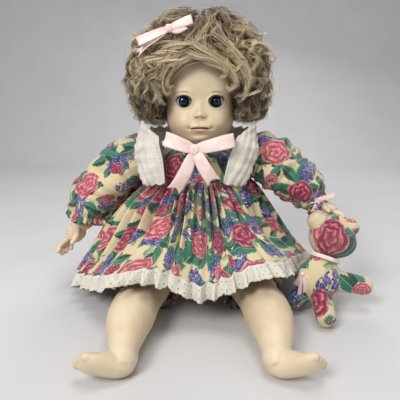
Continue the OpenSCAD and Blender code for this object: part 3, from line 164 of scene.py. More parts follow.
def tube(stations, up, count, sides):
    """Rings (count, sides, 3) along stations [x, y, z, side radius, up radius].

    A point of a ring is middle + side radius * cos(a) * side + up radius * sin(a) * up.
    """
    s = spline(stations, count)
    middle, d = s[:, :3], unit(np.gradient(s[:, :3], axis=0))
    up = np.asarray(up, float)[None]
    v = unit(up - (up * d).sum(1, keepdims=True) * d)
    side = np.cross(v, d)
    a = angles(sides)
    return (middle[:, None] + s[:, 3, None, None] * np.cos(a)[None, :, None] * side[:, None]
            + s[:, 4, None, None] * np.sin(a)[None, :, None] * v[:, None])


def capped(rings):
    """Points and faces of a closed body over rings, with a fan of triangles on each end."""
    m, n = rings.shape[:2]
    points = np.concatenate([rings.reshape(-1, 3), rings[0].mean(0)[None], rings[-1].mean(0)[None]])
    j = np.arange(n)
    k = (j + 1) % n
    first = np.stack([np.full(n, m * n), k, j], 1)
    last = np.stack([np.full(n, m * n + 1), (m - 1) * n + j, (m - 1) * n + k], 1)
    return points, [quads(m, n, loop_u=True), np.concatenate([first, last])]


def joined(parts):
    """One set of points and faces from several."""
    points, faces, start = [], {}, 0
    for p, fs in parts:
        points.append(p.reshape(-1, 3))
        for f in (fs if isinstance(fs, list) else [fs]):
            faces.setdefault(f.shape[1], []).append(f + start)
        start += len(points[-1])
    return np.concatenate(points), [np.concatenate(f) for f in faces.values()]


def modify(obj, kind, **settings):
    """Add a modifier with its settings."""
    m = obj.modifiers.new(kind.title(), kind)
    for key, value in settings.items():
        setattr(m, key, value)
    return obj


def apply_all(obj):
    """Replace the mesh by what its modifiers make of it."""
    final = bpy.data.meshes.new_from_object(obj.evaluated_get(bpy.context.evaluated_depsgraph_get()))
    obj.modifiers.clear()
    obj.data = final
    return obj


def mirrored(table):
    """The points on the other side of the doll."""
    return table * np.array([-1.0, 1, 1])


def mirrored_parts(parts):
    """Closed bodies on the other side of the doll, with their faces turned to look outwards."""
    return [(mirrored(p), [f[:, ::-1] for f in fs]) for p, fs in parts]


def polar(rows, columns):
    """Angle v from a pole, without the poles themselves, and angle u round it, as two tables."""
    return np.meshgrid(np.linspace(0, np.pi, rows)[1:-1], angles(columns), indexing="ij")


def area(obj):
    """Area of an object's mesh in square metres."""
    a = np.empty(len(obj.data.polygons))
    obj.data.polygons.foreach_get("area", a)
    return float(a.sum())


print("mesh helpers ready")

# %% [markdown]
# A finish is a small tree of shader nodes round one Principled shader. To write it as plain sums, a
# socket is wrapped in a class whose operators add the Math node that they stand for, so that
# `1 - mask` works. One method adds any other node.

# %% Shader helpers


class Sock:
    """A shader value. Sums, products and powers add the nodes that do them."""

    def __init__(self, finish, out):
        self.finish, self.out = finish, out

    def maths(self, op, a, b):
        """Node of a sum or product; numbers become vectors beside a vector."""
        vector = any(isinstance(s, Sock) and s.out.type == "VECTOR" for s in (a, b))
        if vector:
            a, b = ((s, s, s) if isinstance(s, (int, float)) else s for s in (a, b))
        return self.finish.node("VectorMath" if vector else "Math", {"operation": op}, [a, b])

    def __add__(self, o): return self.maths("ADD", self, o)
    def __radd__(self, o): return self.maths("ADD", o, self)
    def __sub__(self, o): return self.maths("SUBTRACT", self, o)
    def __rsub__(self, o): return self.maths("SUBTRACT", o, self)
    def __mul__(self, o): return self.maths("MULTIPLY", self, o)
    def __rmul__(self, o): return self.maths("MULTIPLY", o, self)
    def __truediv__(self, o): return self.maths("DIVIDE", self, o)
    def __rtruediv__(self, o): return self.maths("DIVIDE", o, self)
    def __pow__(self, o): return self.maths("POWER", self, o)

    def each(self, op, o=None):
        """Math node of one or two plain values."""
        return self.finish.node("Math", {"operation": op}, [self, o])

    def sin(self): return self.each("SINE")
    def cos(self): return self.each("COSINE")
    def abs(self): return self.each("ABSOLUTE")
    def sqrt(self): return self.each("SQRT")
    def fract(self): return self.each("FRACT")
    def max(self, o): return self.each("MAXIMUM", o)
    def min(self, o): return self.each("MINIMUM", o)

    def between(self, low, high):
        """0 at low, 1 at high, smooth between and held outside."""
        settings = {"interpolation_type": "SMOOTHSTEP"}
        return self.finish.node("MapRange", settings, [self, low, high, 0.0, 1.0])

    def part(self, name):
        """Component "X", "Y" or "Z" of a vector."""
        return self.finish.node("SeparateXYZ", {}, [self], out=name)



def colour(code):
    """Linear colour from a #rrggbb code."""
    values = [int(code[i:i + 2], 16) / 255 for i in (1, 3, 5)]
    return tuple(c / 12.92 if c <= 0.04045 else ((c + 0.055) / 1.055) ** 2.4 for c in values) + (1.0,)


class Finish:
    """A material round one Principled shader."""

    def __init__(self, name, **constants):
        self.material = bpy.data.materials.new(name)
        self.material.use_nodes = True
        self.tree = self.material.node_tree
        self.shader = self.tree.nodes["Principled BSDF"]
        self.set(**constants)

    def set(self, **values):
        """Set inputs of the shader to a value, a colour code or the result of nodes."""
        for name, value in values.items():
            socket = self.shader.inputs[name.replace("_", " ").title().replace("Ior", "IOR")]
            if isinstance(value, Sock):
                self.tree.links.new(value.out, socket)
            else:
                socket.default_value = colour(value) if isinstance(value, str) else value
        return self

    def node(self, kind, settings, inputs, out=0):
        """Add a node, set its settings and inputs and give one of its outputs."""
        n = self.tree.nodes.new("ShaderNode" + kind)
        for key, value in settings.items():
            setattr(n, key, value)
        for key, value in (inputs.items() if isinstance(inputs, dict) else enumerate(inputs)):
            if isinstance(value, Sock):
                self.tree.links.new(value.out, n.inputs[key])
            elif value is not None:
                n.inputs[key].default_value = colour(value) if isinstance(value, str) else value
        return Sock(self, n.outputs[out])

    def place(self):
        """Place in the doll's frame, in metres."""
        return self.node("TexCoord", {}, [], out="Object")

    def cloth(self):
        """Place on the flat cloth, in metres."""
        return self.node("UVMap", {"uv_map": "UVMap"}, [])

    def noise(self, at, scale, detail=3.0, out="Fac"):
        return self.node("TexNoise", {}, {"Vector": at, "Scale": scale, "Detail": detail}, out=out)

    def cells(self, at, scale, out="Distance", randomness=1.0):
        inputs = {"Vector": at, "Scale": scale, "Randomness": randomness}
        return self.node("TexVoronoi", {}, inputs, out=out)

    def angle(self, x, y):
        """Angle of the direction (x, y)."""
        return self.node("Math", {"operation": "ARCTAN2"}, [y, x])

    def mix(self, factor, a, b):
        return self.node("Mix", {"data_type": "RGBA"}, {0: factor, 6: a, 7: b}, out=2)

    def bump(self, height, strength, distance):
        inputs = {"Strength": strength, "Distance": distance, "Height": height}
        return self.set(normal=self.node("Bump", {}, inputs))


print("shader helpers ready")

# %% [markdown]
# The floor is one sheet that curves up far behind the doll, so there is no horizon. Its colour is
# pale and plain, and it keeps the doll's shadow.

# %% Floor and lamps
run = np.linspace(0, 1, 60)
depth_line = np.where(run < 0.6, -1200 + 3600 * run, 960 + 700 * np.sin((run - 0.6) / 0.4 * np.pi / 2))
height_line = np.where(run < 0.6, 0, 1500 * (1 - np.cos((run - 0.6) / 0.4 * np.pi / 2)))
across = np.linspace(-2400, 2400, 9)
backdrop = np.stack(np.broadcast_arrays(across[None, :], depth_line[:, None], height_line[:, None]), -1)
floor_finish = Finish("studio_floor", roughness=0.9, specular_ior_level=0.1)
floor_tone = floor_finish.noise(floor_finish.place(), 9.0, 4.0)
floor_finish.set(base_color=floor_finish.mix(floor_tone, "#c6c4c4", "#d0cecd"))
floor = grid("floor", backdrop, None, material=floor_finish.material)


def lamp(name, place, aim, size, watts):
    """Square soft lamp at place that points at aim, both in metres."""
    data = bpy.data.lights.new(name, "AREA")
    data.size, data.energy = size, watts
    obj = bpy.data.objects.new(name, data)
    obj.location = place
    obj.rotation_euler = (Vector(aim) - Vector(place)).to_track_quat("-Z", "Y").to_euler()
    bpy.context.scene.collection.objects.link(obj)


lamp("key", (-0.62, -1.0, 1.05), (0, 0, 0.18), 0.5, 15)
lamp("top", (0.1, -0.25, 1.5), (0, 0, 0.1), 0.6, 7)
lamp("fill", (1.1, -0.8, 0.7), (0, 0, 0.15), 1.2, 3.2)
lamp("back", (0.3, 1.0, 1.1), (0, 0, 0.2), 0.9, 7)
world = bpy.data.worlds.new("studio")
bpy.context.scene.world = world
world.use_nodes = True
world.node_tree.nodes["Background"].inputs[0].default_value = (0.95, 0.97, 1, 1)
world.node_tree.nodes["Background"].inputs[1].default_value = 0.33
print("four lamps and a pale room")

# %% [markdown]
# Soft doll vinyl is slightly waxy. Its colour is never quite even: it is warmer in some places and
# has a faint mottling, and its gloss is broken by a very fine grain.

# %% Vinyl


def vinyl(name, light, dark, warm, rough=0.42):
    """Waxy plastic that is mottled between two tones and warmer in patches."""
    f = Finish(name, specular_ior_level=0.42, coat_roughness=0.35)
    at = f.place()
    mottle = f.noise(at, 26.0, 3.0)
    patch = f.noise(at, 9.0, 2.0)
    base = f.mix(mottle.between(0.3, 0.72), dark, light)
    base = f.mix(patch.between(0.45, 0.75) * 0.4, base, warm)
    f.set(base_color=base, roughness=rough + 0.12 * f.noise(at, 160.0, 2.0))
    grain = f.noise(at, 900.0, 2.0) + 2.0 * f.noise(at, 60.0, 2.0)
    return f.bump(grain, 0.10, 0.0006)


limb_finish = vinyl("limb_vinyl", "#dcc9ac", "#ccb696", "#d6b699")
print("vinyl")

# %% [markdown]
# The face has the same vinyl with paint on it: thin brows of fine strokes, peach lips, a dark rim
# round each eye and a faint blush on the cheeks, and painted shade in the dents at the corners of the
# mouth, in the nostrils and in the hollow of the chin. Paint is a mask worked out from the place on
# the face, so it stays sharp and needs no picture.

# %% Painted face
EYE_X, EYE_Z, EYE_W, EYE_H = 20.5, 264.0, 8.75, 6.75
MOUTH_Z = 231.5


def painted_face(name):
    """Vinyl with painted brows, eye rims, lips and cheeks, and painted shade at the mouth corners, nostrils
    and chin, in metres.
    """
    f = vinyl(name, "#d8c6a8", "#c7b392", "#d4b497", 0.36)
    base = Sock(f, f.shader.inputs["Base Color"].links[0].from_socket)
    at = f.place()
    x, y, z = (at.part(axis) for axis in "XYZ")
    side = x.abs()
    front = 1 - y.between(-0.050, -0.045)
    # blush: a soft round patch on each cheek
    cheek = (((side - 0.027) / 0.016) ** 2 + ((z - 0.240) / 0.013) ** 2).sqrt()
    base = f.mix((1 - cheek.between(0.2, 1.25)) * 0.16, base, "#c98a74")
    # brows: short flat arcs drawn in slanted strokes
    along = (side - 0.0140) / 0.0145
    arc = 0.2752 + 0.0016 * (along * 3.1416).max(0.0).min(3.1416).sin() - 0.0006 * along
    width = 0.00085 * (1.1 - along * 0.75).max(0.1)
    stroke = f.noise(f.node("CombineXYZ", {}, [x * 1600.0 + (z * 900.0), z * 120.0, 0.0]), 1.0, 2.0)
    brow = 1 - ((z - arc).abs() / width).between(0.45, 1.2)
    brow = brow * along.between(-0.03, 0.12) * (1 - along.between(0.85, 1.05))
    base = f.mix(brow * (0.5 + 0.4 * stroke.between(0.35, 0.6)), base, "#73543c")
    # rim: a dark line round each eye opening, heavy along the upper lid
    eye = (((side - EYE_X * MM) / (EYE_W * MM)) ** 2 + ((z - EYE_Z * MM) / (EYE_H * MM)) ** 2).sqrt()
    above = (z - EYE_Z * MM).between(-0.004, 0.004)
    rim = (1 - (eye - 0.14 * above).between(1.04, 1.24)) * (0.62 + 0.38 * above)
    base = f.mix(rim * 0.92, base, "#1d1412")
    # upper lip: a cupid's bow over the mouth line; lower lip: a fuller arc under it
    mouth = MOUTH_Z * MM
    bow = 0.2333 + 0.0027 * (1 - (side / 0.0100) ** 2).max(0.0) - 0.0007 * (1 - (side / 0.0022).min(1.0))
    upper = (1 - (z - bow).between(-0.0004, 0.0006)) * z.between(mouth - 0.003, mouth - 0.001)
    upper = upper * (1 - side.between(0.0085, 0.0115))
    low = 0.2298 - 0.0034 * (1 - (side / 0.0088) ** 2).max(0.0)
    under = (z - low).between(-0.0004, 0.0005) * (1 - side.between(0.0070, 0.0095))
    under = under * (1 - z.between(mouth, mouth + 0.001))
    base = f.mix(upper.max(under) * front * 0.62, base, "#bd8a76")
    # painted shade: the dents at the corners of the mouth, in the nostrils and in the hollow of the chin
    # are darkened with thin brown as their shade; each row gives place, half-width, height, half-height,
    # where it starts to fade, strength and colour
    for x0, wide, z0, tall, fade, strength, code in (
            (0.0138, 0.0026, 0.2322, 0.0017, 0.2, 0.65, "#4e3226"),
            (0.0042, 0.0016, 0.2453, 0.0012, 0.4, 0.75, "#3d251c"),
            (0.0, 0.0008, 0.2160, 0.0009, 0.4, 0.7, "#4a3a30")):
        shade_spot = (((side - x0) / wide) ** 2 + ((z - z0) / tall) ** 2).sqrt()
        base = f.mix((1 - shade_spot.between(fade, 1.2)) * strength * front, base, code)
    return f.set(base_color=base)


face_finish = painted_face("face_vinyl")
lip_finish = vinyl("lip_vinyl", "#d2a48e", "#c99a85", "#c8907c", 0.30)
print("painted face")

# %% [markdown]
# The eyes are acrylic balls: a bright white, a very dark blue iris with fine rays and a darker rim,
# a black pupil, and a clear glossy skin over all of it. Towards the edge of the socket the white
# darkens to a grey tan as painted shade.

# %% Eyes


def iris_paint(name):
    """White ball with an iris and a pupil on the front of each eye."""
    f = Finish(name, roughness=0.12, coat_weight=0.5, coat_roughness=0.02, ior=1.40, specular_ior_level=0.3)
    at = f.place()
    x, z = at.part("X"), at.part("Z")
    dx, dz = x.abs() - EYE_X * MM, z - EYE_Z * MM
    r = (dx * dx + dz * dz).sqrt() / 0.0067
    rays = f.noise(f.node("CombineXYZ", {}, [f.angle(dx, dz) * 9.0, r * 1.2, 0.0]), 1.6)
    blue = f.mix(rays.between(0.3, 0.7), "#080e20", "#1a2a58")
    blue = f.mix(r.between(0.62, 0.95) * 0.95, blue, "#030409")
    blue = f.mix(1 - r.between(0.36, 0.46), blue, "#020203")
    # painted shade: the white darkens to a grey tan towards the edge of the socket
    white = f.mix(r.between(1.05, 1.5), "#e0dcd5", "#b3a293")
    front = 1 - at.part("Y").between(-0.0435, -0.0425)
    return f.set(base_color=f.mix((1 - r.between(0.97, 1.04)) * front, white, blue))


eye_finish = iris_paint("eye_white")
lash_finish = Finish("lash", roughness=0.6)
lash_tone = lash_finish.noise(lash_finish.place(), 300.0)
lash_finish.set(base_color=lash_finish.mix(lash_tone, "#120c0a", "#2d1f19"))
print("eye paint")

# %% [markdown]
# The dress is a cream chintz printed with roses, leaves and small lilac clusters. A print is a
# pattern that repeats without a visible grid, so each motif is drawn in the cells of a Voronoi
# texture: the cell gives a middle, a random turn and a random tint, and the motif is a formula in
# the distance and the angle from that middle. The motifs here are generic shapes made from sums of
# cosines. The UV map is in metres of cloth, so one print fits the skirt, the sleeves and the bear.

# %% Floral print


class Motif:
    """Frame of a Voronoi cell: place x, y in metres from its middle after a random turn, and a tint."""

    def __init__(self, f, cloth, size, shift):
        k = 1.0 / size
        at = cloth + shift
        middle = f.cells(at, k, "Position", randomness=0.58)
        self.tint = f.cells(at, k, "Color", randomness=0.58)
        d = at - middle
        turn = self.tint.part("X") * 6.2832
        x, y = d.part("X"), d.part("Y")
        self.x = x * turn.cos() + y * turn.sin()
        self.y = y * turn.cos() - x * turn.sin()
        self.r = (x * x + y * y).sqrt()
        self.angle = f.angle(self.x, self.y)


def chintz(name, full=1.0):
    """Printed cotton; `full` scales how many cells carry a leaf or a lilac cluster."""
    f = Finish(name, sheen_weight=0.25, sheen_roughness=0.5, specular_ior_level=0.25)
    cloth = f.cloth()
    wander = f.noise(cloth, 60.0, 2.0, out="Color")
    cloth_in = cloth + (wander - 0.5) * 0.008
    brush = f.noise(cloth, 240.0, 2.0)
    base = f.mix(f.noise(cloth, 14.0), "#dccca6", "#c3b18a")

    def share_of(m, share):
        """1 in that share of the cells, and 0 in the others."""
        return 1 - m.tint.part("Y").between(share, share + 0.01)

    # leaves: pointed ovals with a saw edge, a pale midrib and slanted veins, alone or in a ring
    def leaves(base, size, long, wide, shift, dark, light, share, ring=0):
        m = Motif(f, cloth_in, size, shift)
        if ring:
            angle = ((m.angle * (ring / 6.2832) + m.tint.part("Z")).fract() - 0.5) * (6.2832 / ring)
            m.x, m.y = m.r * angle.cos() - 0.021, m.r * angle.sin()
        outline = ((m.x.abs() / long) ** 1.7 + m.y.abs() / wide).sqrt()
        saw = outline + 0.05 * (m.x * 2400.0).sin()
        inside = (1 - saw.between(0.95, 1.01)) * share_of(m, share * full)
        rib = 1 - m.y.abs().between(0.0002, 0.0008)
        veins = ((m.x - m.y.abs() * 1.3) * 1900.0).sin().between(0.55, 0.95)
        tone = f.mix((m.y * 170.0 + brush).max(0.0).min(1.0), dark, light)
        tone = f.mix((rib * 0.6).max(veins * 0.28), tone, "#8fb096")
        return f.mix(inside, base, tone)

    # cell size, half-length, half-width, shift of the cells, two greens, share of cells, leaves in a ring
    for kind in ((0.030, 0.0105, 0.0044, (0.31, 0.12, 0), "#5d7d5c", "#9caf80", 0.55),
                 (0.040, 0.0185, 0.0098, (0.05, 0.41, 0), "#08332b", "#2b7560", 0.88),
                 (0.066, 0.0130, 0.0078, (0.44, 0.91, 0), "#0a382f", "#2a705b", 0.94, 5),
                 (0.046, 0.0205, 0.0105, (0.63, 0.17, 0), "#0b3d33", "#226a57", 0.72)):
        base = leaves(base, *kind)

    # lilac clusters: many little florets inside a soft oval patch
    m = Motif(f, cloth_in, 0.060, (0.77, 0.23, 0))
    patch = 1 - ((m.x * 0.70) ** 2 + (m.y * 1.15) ** 2).sqrt().between(0.0135, 0.0160)
    floret = f.cells(cloth, 270.0)
    tone = f.mix(f.cells(cloth, 270.0, "Color").part("X"), "#382f6c", "#7f79b4")
    tone = f.mix(1 - floret.between(0.08, 0.22), tone, "#cbc5e2")
    tone = f.mix(floret.between(0.45, 0.62), tone, "#232f55")
    base = f.mix(patch * (1 - floret.between(0.62, 0.76)) * share_of(m, 0.80 * full), base, tone)

    # roses: rings of overlapping petals, each dark at its foot and pale at its rim, crimson or coral
    def roses(base, size, radius, shift, share):
        m = Motif(f, cloth_in, size, shift)
        warm = m.tint.part("Z").between(0.35, 0.75)
        shades = (("#6b1a35", "#9c3f50"), ("#a43e58", "#c57078"), ("#d8949a", "#e8bcaa"))
        deep, mid, pale = (f.mix(warm, crimson, coral) for crimson, coral in shades)
        wobble = brush - 0.5
        edge = radius * (0.86 + 0.19 * (m.angle * 2.5 + m.tint.part("Z") * 6.0).sin().abs())
        t = m.r / edge
        rings = (t + wobble * 0.30) * 2.9
        ring = rings.fract()
        petal = (m.angle * 0.7958 + (rings - ring) * 0.37 + wobble * 0.9).fract()
        middle = 1 - (petal - 0.5).abs() * 2
        tone = f.mix(ring.between(0.0, 0.9), deep, mid)
        tone = f.mix(ring.between(0.35, 1.0) * middle.between(0.05, 0.7) * (0.25 + 0.6 * t), tone, pale)
        tone = f.mix((1 - middle.between(0.0, 0.3)) * 0.55, tone, deep)
        return f.mix((1 - t.between(0.97, 1.02)) * share_of(m, share), base, tone)

    base = roses(base, 0.044, 0.0105, (0.19, 0.66, 0), 0.42)
    base = roses(base, 0.066, 0.0205, (0.44, 0.91, 0), 0.68)

    # weave and wear: threads both ways and a faint mottled fading
    u, v = cloth.part("X"), cloth.part("Y")
    weave = (u * 9000.0).sin() * (v * 9000.0).sin()
    faded = f.noise(cloth, 30.0, 4.0).between(0.45, 0.85) * 0.16
    base = f.mix(faded, base, "#cdbf9d")
    f.set(base_color=base, roughness=0.78 + 0.14 * f.noise(cloth, 90.0))
    return f.bump(weave * 0.35 + f.noise(cloth, 420.0, 2.0), 0.22, 0.0006)


floral_finish = chintz("floral_cotton")
bear_finish = chintz("bear_cotton", full=0.6)
print("print")

# %% [markdown]
# Eyelet lace is white cotton with small stitched holes. Each hole has a raised satin-stitch rim, and
# the holes sit in rows that follow the edge of the cloth. The holes are cut by the alpha, and each is
# darkened grey inside and round its edge as painted shade.

# %% Eyelet lace and satin


def eyelet(name, light, dark, pitch=0.0085, hole=0.0009, sheer=0.0):
    """Lace with rows of holes `pitch` metres apart; `sheer` thins the cloth in patches."""
    f = Finish(name, sheen_weight=0.2, specular_ior_level=0.2)
    cloth = f.cloth()
    u, v = cloth.part("X"), cloth.part("Y")
    drift = f.noise(cloth, 70.0, 1.0) - 0.5

    def holes(pu, pv, du, dv, radius):
        a = ((u / pu + du + drift * 0.5).fract() - 0.5) * pu
        b = ((v / pv + dv + drift * 0.4).fract() - 0.5) * pv
        petals = radius * (1 + 0.35 * (f.angle(a, b) * 5.0).cos())
        return (a * a + b * b).sqrt() / petals

    big = holes(pitch, pitch * 1.15, 0.0, 0.0, hole)
    small = holes(pitch, pitch * 1.15, 0.5, 0.5, hole * 0.55)
    near = big.min(small)
    rim = near.between(0.9, 1.25) * (1 - near.between(1.7, 2.6))
    cut = near.between(0.85, 1.1)
    tone = f.mix(f.noise(cloth, 60.0), light, dark)
    tone = f.mix(rim * 0.5, tone, "#f3eee2")
    # painted shade: each hole is darkened grey inside and round its edge
    tone = f.mix((1 - near.between(1.0, 1.4)) * 0.35, tone, "#a49b8c")
    weave = (u * 7000.0).sin() * (v * 7000.0).sin()
    thin = f.noise(cloth, 45.0, 2.0).between(0.35, 0.75) * sheer
    f.set(base_color=tone, alpha=(0.25 + 0.75 * cut) * (1 - thin),
          roughness=0.8 + 0.12 * f.noise(cloth, 200.0))
    return f.bump(rim * 1.6 + weave * 0.2 + f.noise(cloth, 300.0, 2.0) * 0.5, 0.45, 0.0008)


lace_finish = eyelet("white_lace", "#e2ddcf", "#cfc8b8")
collar_finish = eyelet("collar_lace", "#e9e4d8", "#d3cdbf", 0.0062, 0.0005, sheer=0.15)


def satin_cloth(name, light, dark):
    """Glossy cloth with fine threads across it."""
    f = Finish(name, sheen_weight=0.3, sheen_roughness=0.35, anisotropic=0.5, specular_ior_level=0.55)
    cloth = f.cloth()
    u, v = cloth.part("X"), cloth.part("Y")
    thread = (v * 16000.0 + (u * 500.0).sin()).sin()
    tone = f.mix(f.noise(cloth, 40.0).between(0.3, 0.7), dark, light)
    f.set(base_color=tone, roughness=0.30 + 0.16 * f.noise(cloth, 120.0))
    return f.bump(thread * 0.2 + f.noise(cloth, 150.0, 2.0), 0.15, 0.0005)


satin_finish = satin_cloth("satin", "#f5e0d8", "#e3bfb5")
satin_knot = Finish("satin_knot", sheen_weight=0.3)
tone = satin_knot.noise(satin_knot.place(), 260.0)
satin_knot.set(base_color=satin_knot.mix(tone.between(0.3, 0.7), "#e3c0b5", "#f3dcd3"),
               roughness=0.3 + 0.15 * tone)
satin_knot.bump(satin_knot.noise(satin_knot.place(), 500.0), 0.2, 0.0006)
print("lace and satin")

# %% [markdown]
# The wig is curled synthetic fibre in an ash blond. Single fibres are too thin and too many to model,
# so each modelled strand stands for a small bundle: its colour varies at random between strands, and
# with painted light along and between them, from painted shade in a grey brown at the roots and deep
# in the wig to painted highlights in pale gold at the tips, on the outside and at the front.

# %% Hair finish


def fibre(name, deep, middle, pale_and_highlit):
    """Fibre whose UV holds its tone, random and with painted light, in u and the way along it in v."""
    f = Finish(name, specular_ior_level=0.5, anisotropic=0.4)
    # painted shade: the tone falls towards the root of each fibre, where the wig is in shade
    tone = f.cloth().part("X") * (0.45 + 0.55 * f.cloth().part("Y"))
    base = f.mix(tone.between(0.08, 0.45), deep, middle)
    base = f.mix(tone.between(0.42, 0.85), base, pale_and_highlit)
    return f.set(base_color=base, roughness=0.28 + 0.2 * (1 - tone))


hair_finish = fibre("hair_fibre", "#473b32", "#937d61", "#f6e4be")
print("fibre")

# %% [markdown]
# The parts inside the head and the torso keep the CAD's own shapes and get plain working finishes:
# moulded plastics with a fine spark-eroded grain, turned steel and brass with fine lines, a green
# board, printed cell jackets and a woven speaker cone.

# %% Finishes of the working parts


def moulded(name, light, dark, rough=0.5, grain=700.0):
    """Moulded plastic with a fine grain."""
    f = Finish(name, specular_ior_level=0.4)
    at = f.place()
    f.set(base_color=f.mix(f.noise(at, 22.0).between(0.3, 0.7), dark, light),
          roughness=rough + 0.14 * f.noise(at, 120.0))
    return f.bump(f.noise(at, grain, 2.0), 0.14, 0.0005)


def metal(name, light, dark):
    """Turned metal with fine lines and worn patches."""
    f = Finish(name, metallic=1.0, anisotropic=0.4)
    at = f.place()
    turned = f.noise(at * (2600.0, 60.0, 60.0), 1.0, 2.0)
    worn = f.noise(at, 90.0, 4.0)
    f.set(base_color=f.mix(worn.between(0.3, 0.75), light, dark), roughness=0.28 + 0.18 * worn)
    return f.bump(turned, 0.12, 0.0003)


def board(name):
    """Circuit board with a pattern of tracks."""
    f = moulded(name, "#2f6b3f", "#24563a", 0.42)
    at = f.place()
    x, z = at.part("X"), at.part("Z")
    track = ((x * 2400.0).sin() * (z * 1700.0).sin()).between(0.55, 0.7)
    base = Sock(f, f.shader.inputs["Base Color"].links[0].from_socket)
    return f.set(base_color=f.mix(track * 0.6, base, "#5c9a5e"))


def jacket(name):
    """Cell jacket: a coloured sleeve that ends in bare metal."""
    f = Finish(name, coat_weight=0.4, coat_roughness=0.1)
    at = f.place()
    band = at.part("X").abs().between(0.0135, 0.0139)
    f.set(base_color=f.mix(band, "#2c5f7d", "#c9cdd0"), metallic=band * 0.7,
          roughness=0.28 + 0.15 * f.noise(at, 80.0))
    return f.bump(f.noise(at, 300.0), 0.1, 0.0004)


finishes = {
    "face_vinyl": face_finish, "limb_vinyl": limb_finish, "lip_vinyl": lip_finish, "satin": satin_finish,
    "hair_fibre": hair_finish, "floral_cotton": floral_finish, "white_lace": lace_finish,
    "case_plastic": moulded("case_plastic", "#d8cdb8", "#cbbfa8", 0.48),
    "frame_plastic": moulded("frame_plastic", "#8f9296", "#83868a", 0.5),
    "acetal": moulded("acetal", "#dad5c7", "#cfc9ba", 0.36, 300.0),
    "dark_plastic": moulded("dark_plastic", "#34363a", "#2a2c30", 0.5),
    "button_plastic": moulded("button_plastic", "#c9586a", "#b84a5d", 0.35),
    "eye_white": eye_finish, "eye_iris": eye_finish,
    "steel": metal("steel", "#b9bcbf", "#9da1a5"), "brass": metal("brass", "#c9a45c", "#ad8745"),
    "speaker_black": moulded("speaker_black", "#202124", "#2b2c30", 0.75, 1400.0),
    "board_green": board("board_green"), "cell_jacket": jacket("cell_jacket"),
}
for part in frame["record"]["subparts"]:
    skin = frame["nodes"][part["node"]]
    skin.data.materials.clear()
    skin.data.materials.append(finishes[part["material_slot"]].material)

# %% [markdown]
# The face is a height field: for a height z and a place x across it, a super-ellipse gives the plain
# head, and smooth bumps add the cheeks, nose, lips and chin. The eye and mouth openings are cut by
# leaving out the quads inside an ellipse and drawing the corners next to it onto the ellipse.

# %% Face
NECK, HEAD_H, HEAD_W, FACE_D = 203.0, 142.0, 94.0, 60.0
# each row: share of the height, then shares of the width and of the depth of the face
head_form = [[0, .45, .36], [.05, .55, .70], [.09, .70, .90], [.17, .90, 1], [.28, 1, 1.01],
             [.43, .98, .94], [.58, 1, .94], [.74, .94, .86], [.88, .74, .67], [.965, .43, .40],
             [1, .06, .06]]


def bump(x, z, x0, z0, wide, tall):
    """Bell of height 1 at (x0, z0)."""
    return np.exp(-((x - x0) / wide) ** 2 - ((z - z0) / tall) ** 2)


def features(x, z):
    """How far the face stands out of the plain head: a sum of bell-shaped bumps."""
    s = np.abs(x)
    e, m = EYE_Z, MOUTH_Z
    out = 8.8 * bump(x, z, 0, e - 15, 5.0, 4.4) + 2.0 * bump(x, z, 0, e - 7, 4.4, 8)
    out += 3.6 * bump(s, z, 6.1, e - 16.6, 2.6, 2.8) - 1.8 * bump(s, z, 3.8, e - 18.8, 1.5, 1.2)
    out += 4.8 * bump(s, z, 25, e - 25, 13, 12) + 1.3 * bump(s, z, EYE_X, e + 12, 12, 4)
    out -= 1.0 * bump(s, z, EYE_X, e, 12.5, 9)
    out += 1.3 * np.exp(-((np.hypot((s - EYE_X) / 9.6, (z - e) / 7.6) - 1.12) / 0.16) ** 2)
    out += 3.9 * bump(x, z, 0, m + 1.5, 13, 6.5) + 1.3 * bump(s, z, 3.4, m + 3.1, 4.2, 1.7)
    out -= 0.8 * bump(x, z, 0, m + 7, 2.0, 3.0)
    out -= 1.9 * bump(s, z, 14.4, m + 1.0, 2.8, 2.8) + 2.0 * bump(x, z, 0, m - 8.2, 9, 2.4)
    out += 4.4 * bump(x, z, 0, NECK + 13.5, 10.5, 7) - 0.5 * bump(x, z, 0, NECK + 13, 1.6, 2.2)
    return out


def shares(z):
    """Half-width and front depth of the plain head at height z."""
    form = spline(head_form, 400)
    t = np.clip((z - NECK) / HEAD_H, 0, 1)
    return [np.interp(t, form[:, 0], form[:, k]) * d for k, d in ((1, HEAD_W / 2), (2, FACE_D))]


def front(x, z):
    """y of the face: the plain oval |x/w|^2.5 + |y/d|^2.5 = 1, less the features."""
    w, d = shares(z)
    plain = d * np.maximum(1 - np.minimum(np.abs(x) / w, 1) ** 2.5, 0) ** 0.4
    fade = np.clip((plain / d - 0.2) / 0.35, 0, 1)
    return -plain - features(x, z) * fade


rows = NECK + HEAD_H * np.concatenate([np.linspace(0, 0.62, 140), np.linspace(0.62, 1, 30)[1:]])
phi = np.linspace(-1, 1, 209)
z = np.broadcast_to(rows[:, None], (len(rows), len(phi)))
x = shares(z)[0] * np.sin(phi * np.pi / 2)[None, :] * 0.9995
openings = [(-EYE_X, EYE_Z, EYE_W, EYE_H), (EYE_X, EYE_Z, EYE_W, EYE_H), (0.0, MOUTH_Z, 12.0, 1.9)]
keep = np.ones((len(rows) - 1, len(phi) - 1), bool)


def touched(mask):
    """Which points of the table belong to a quad that the mask holds."""
    p = np.pad(mask, 1)
    return p[1:, 1:] | p[:-1, 1:] | p[1:, :-1] | p[:-1, :-1]


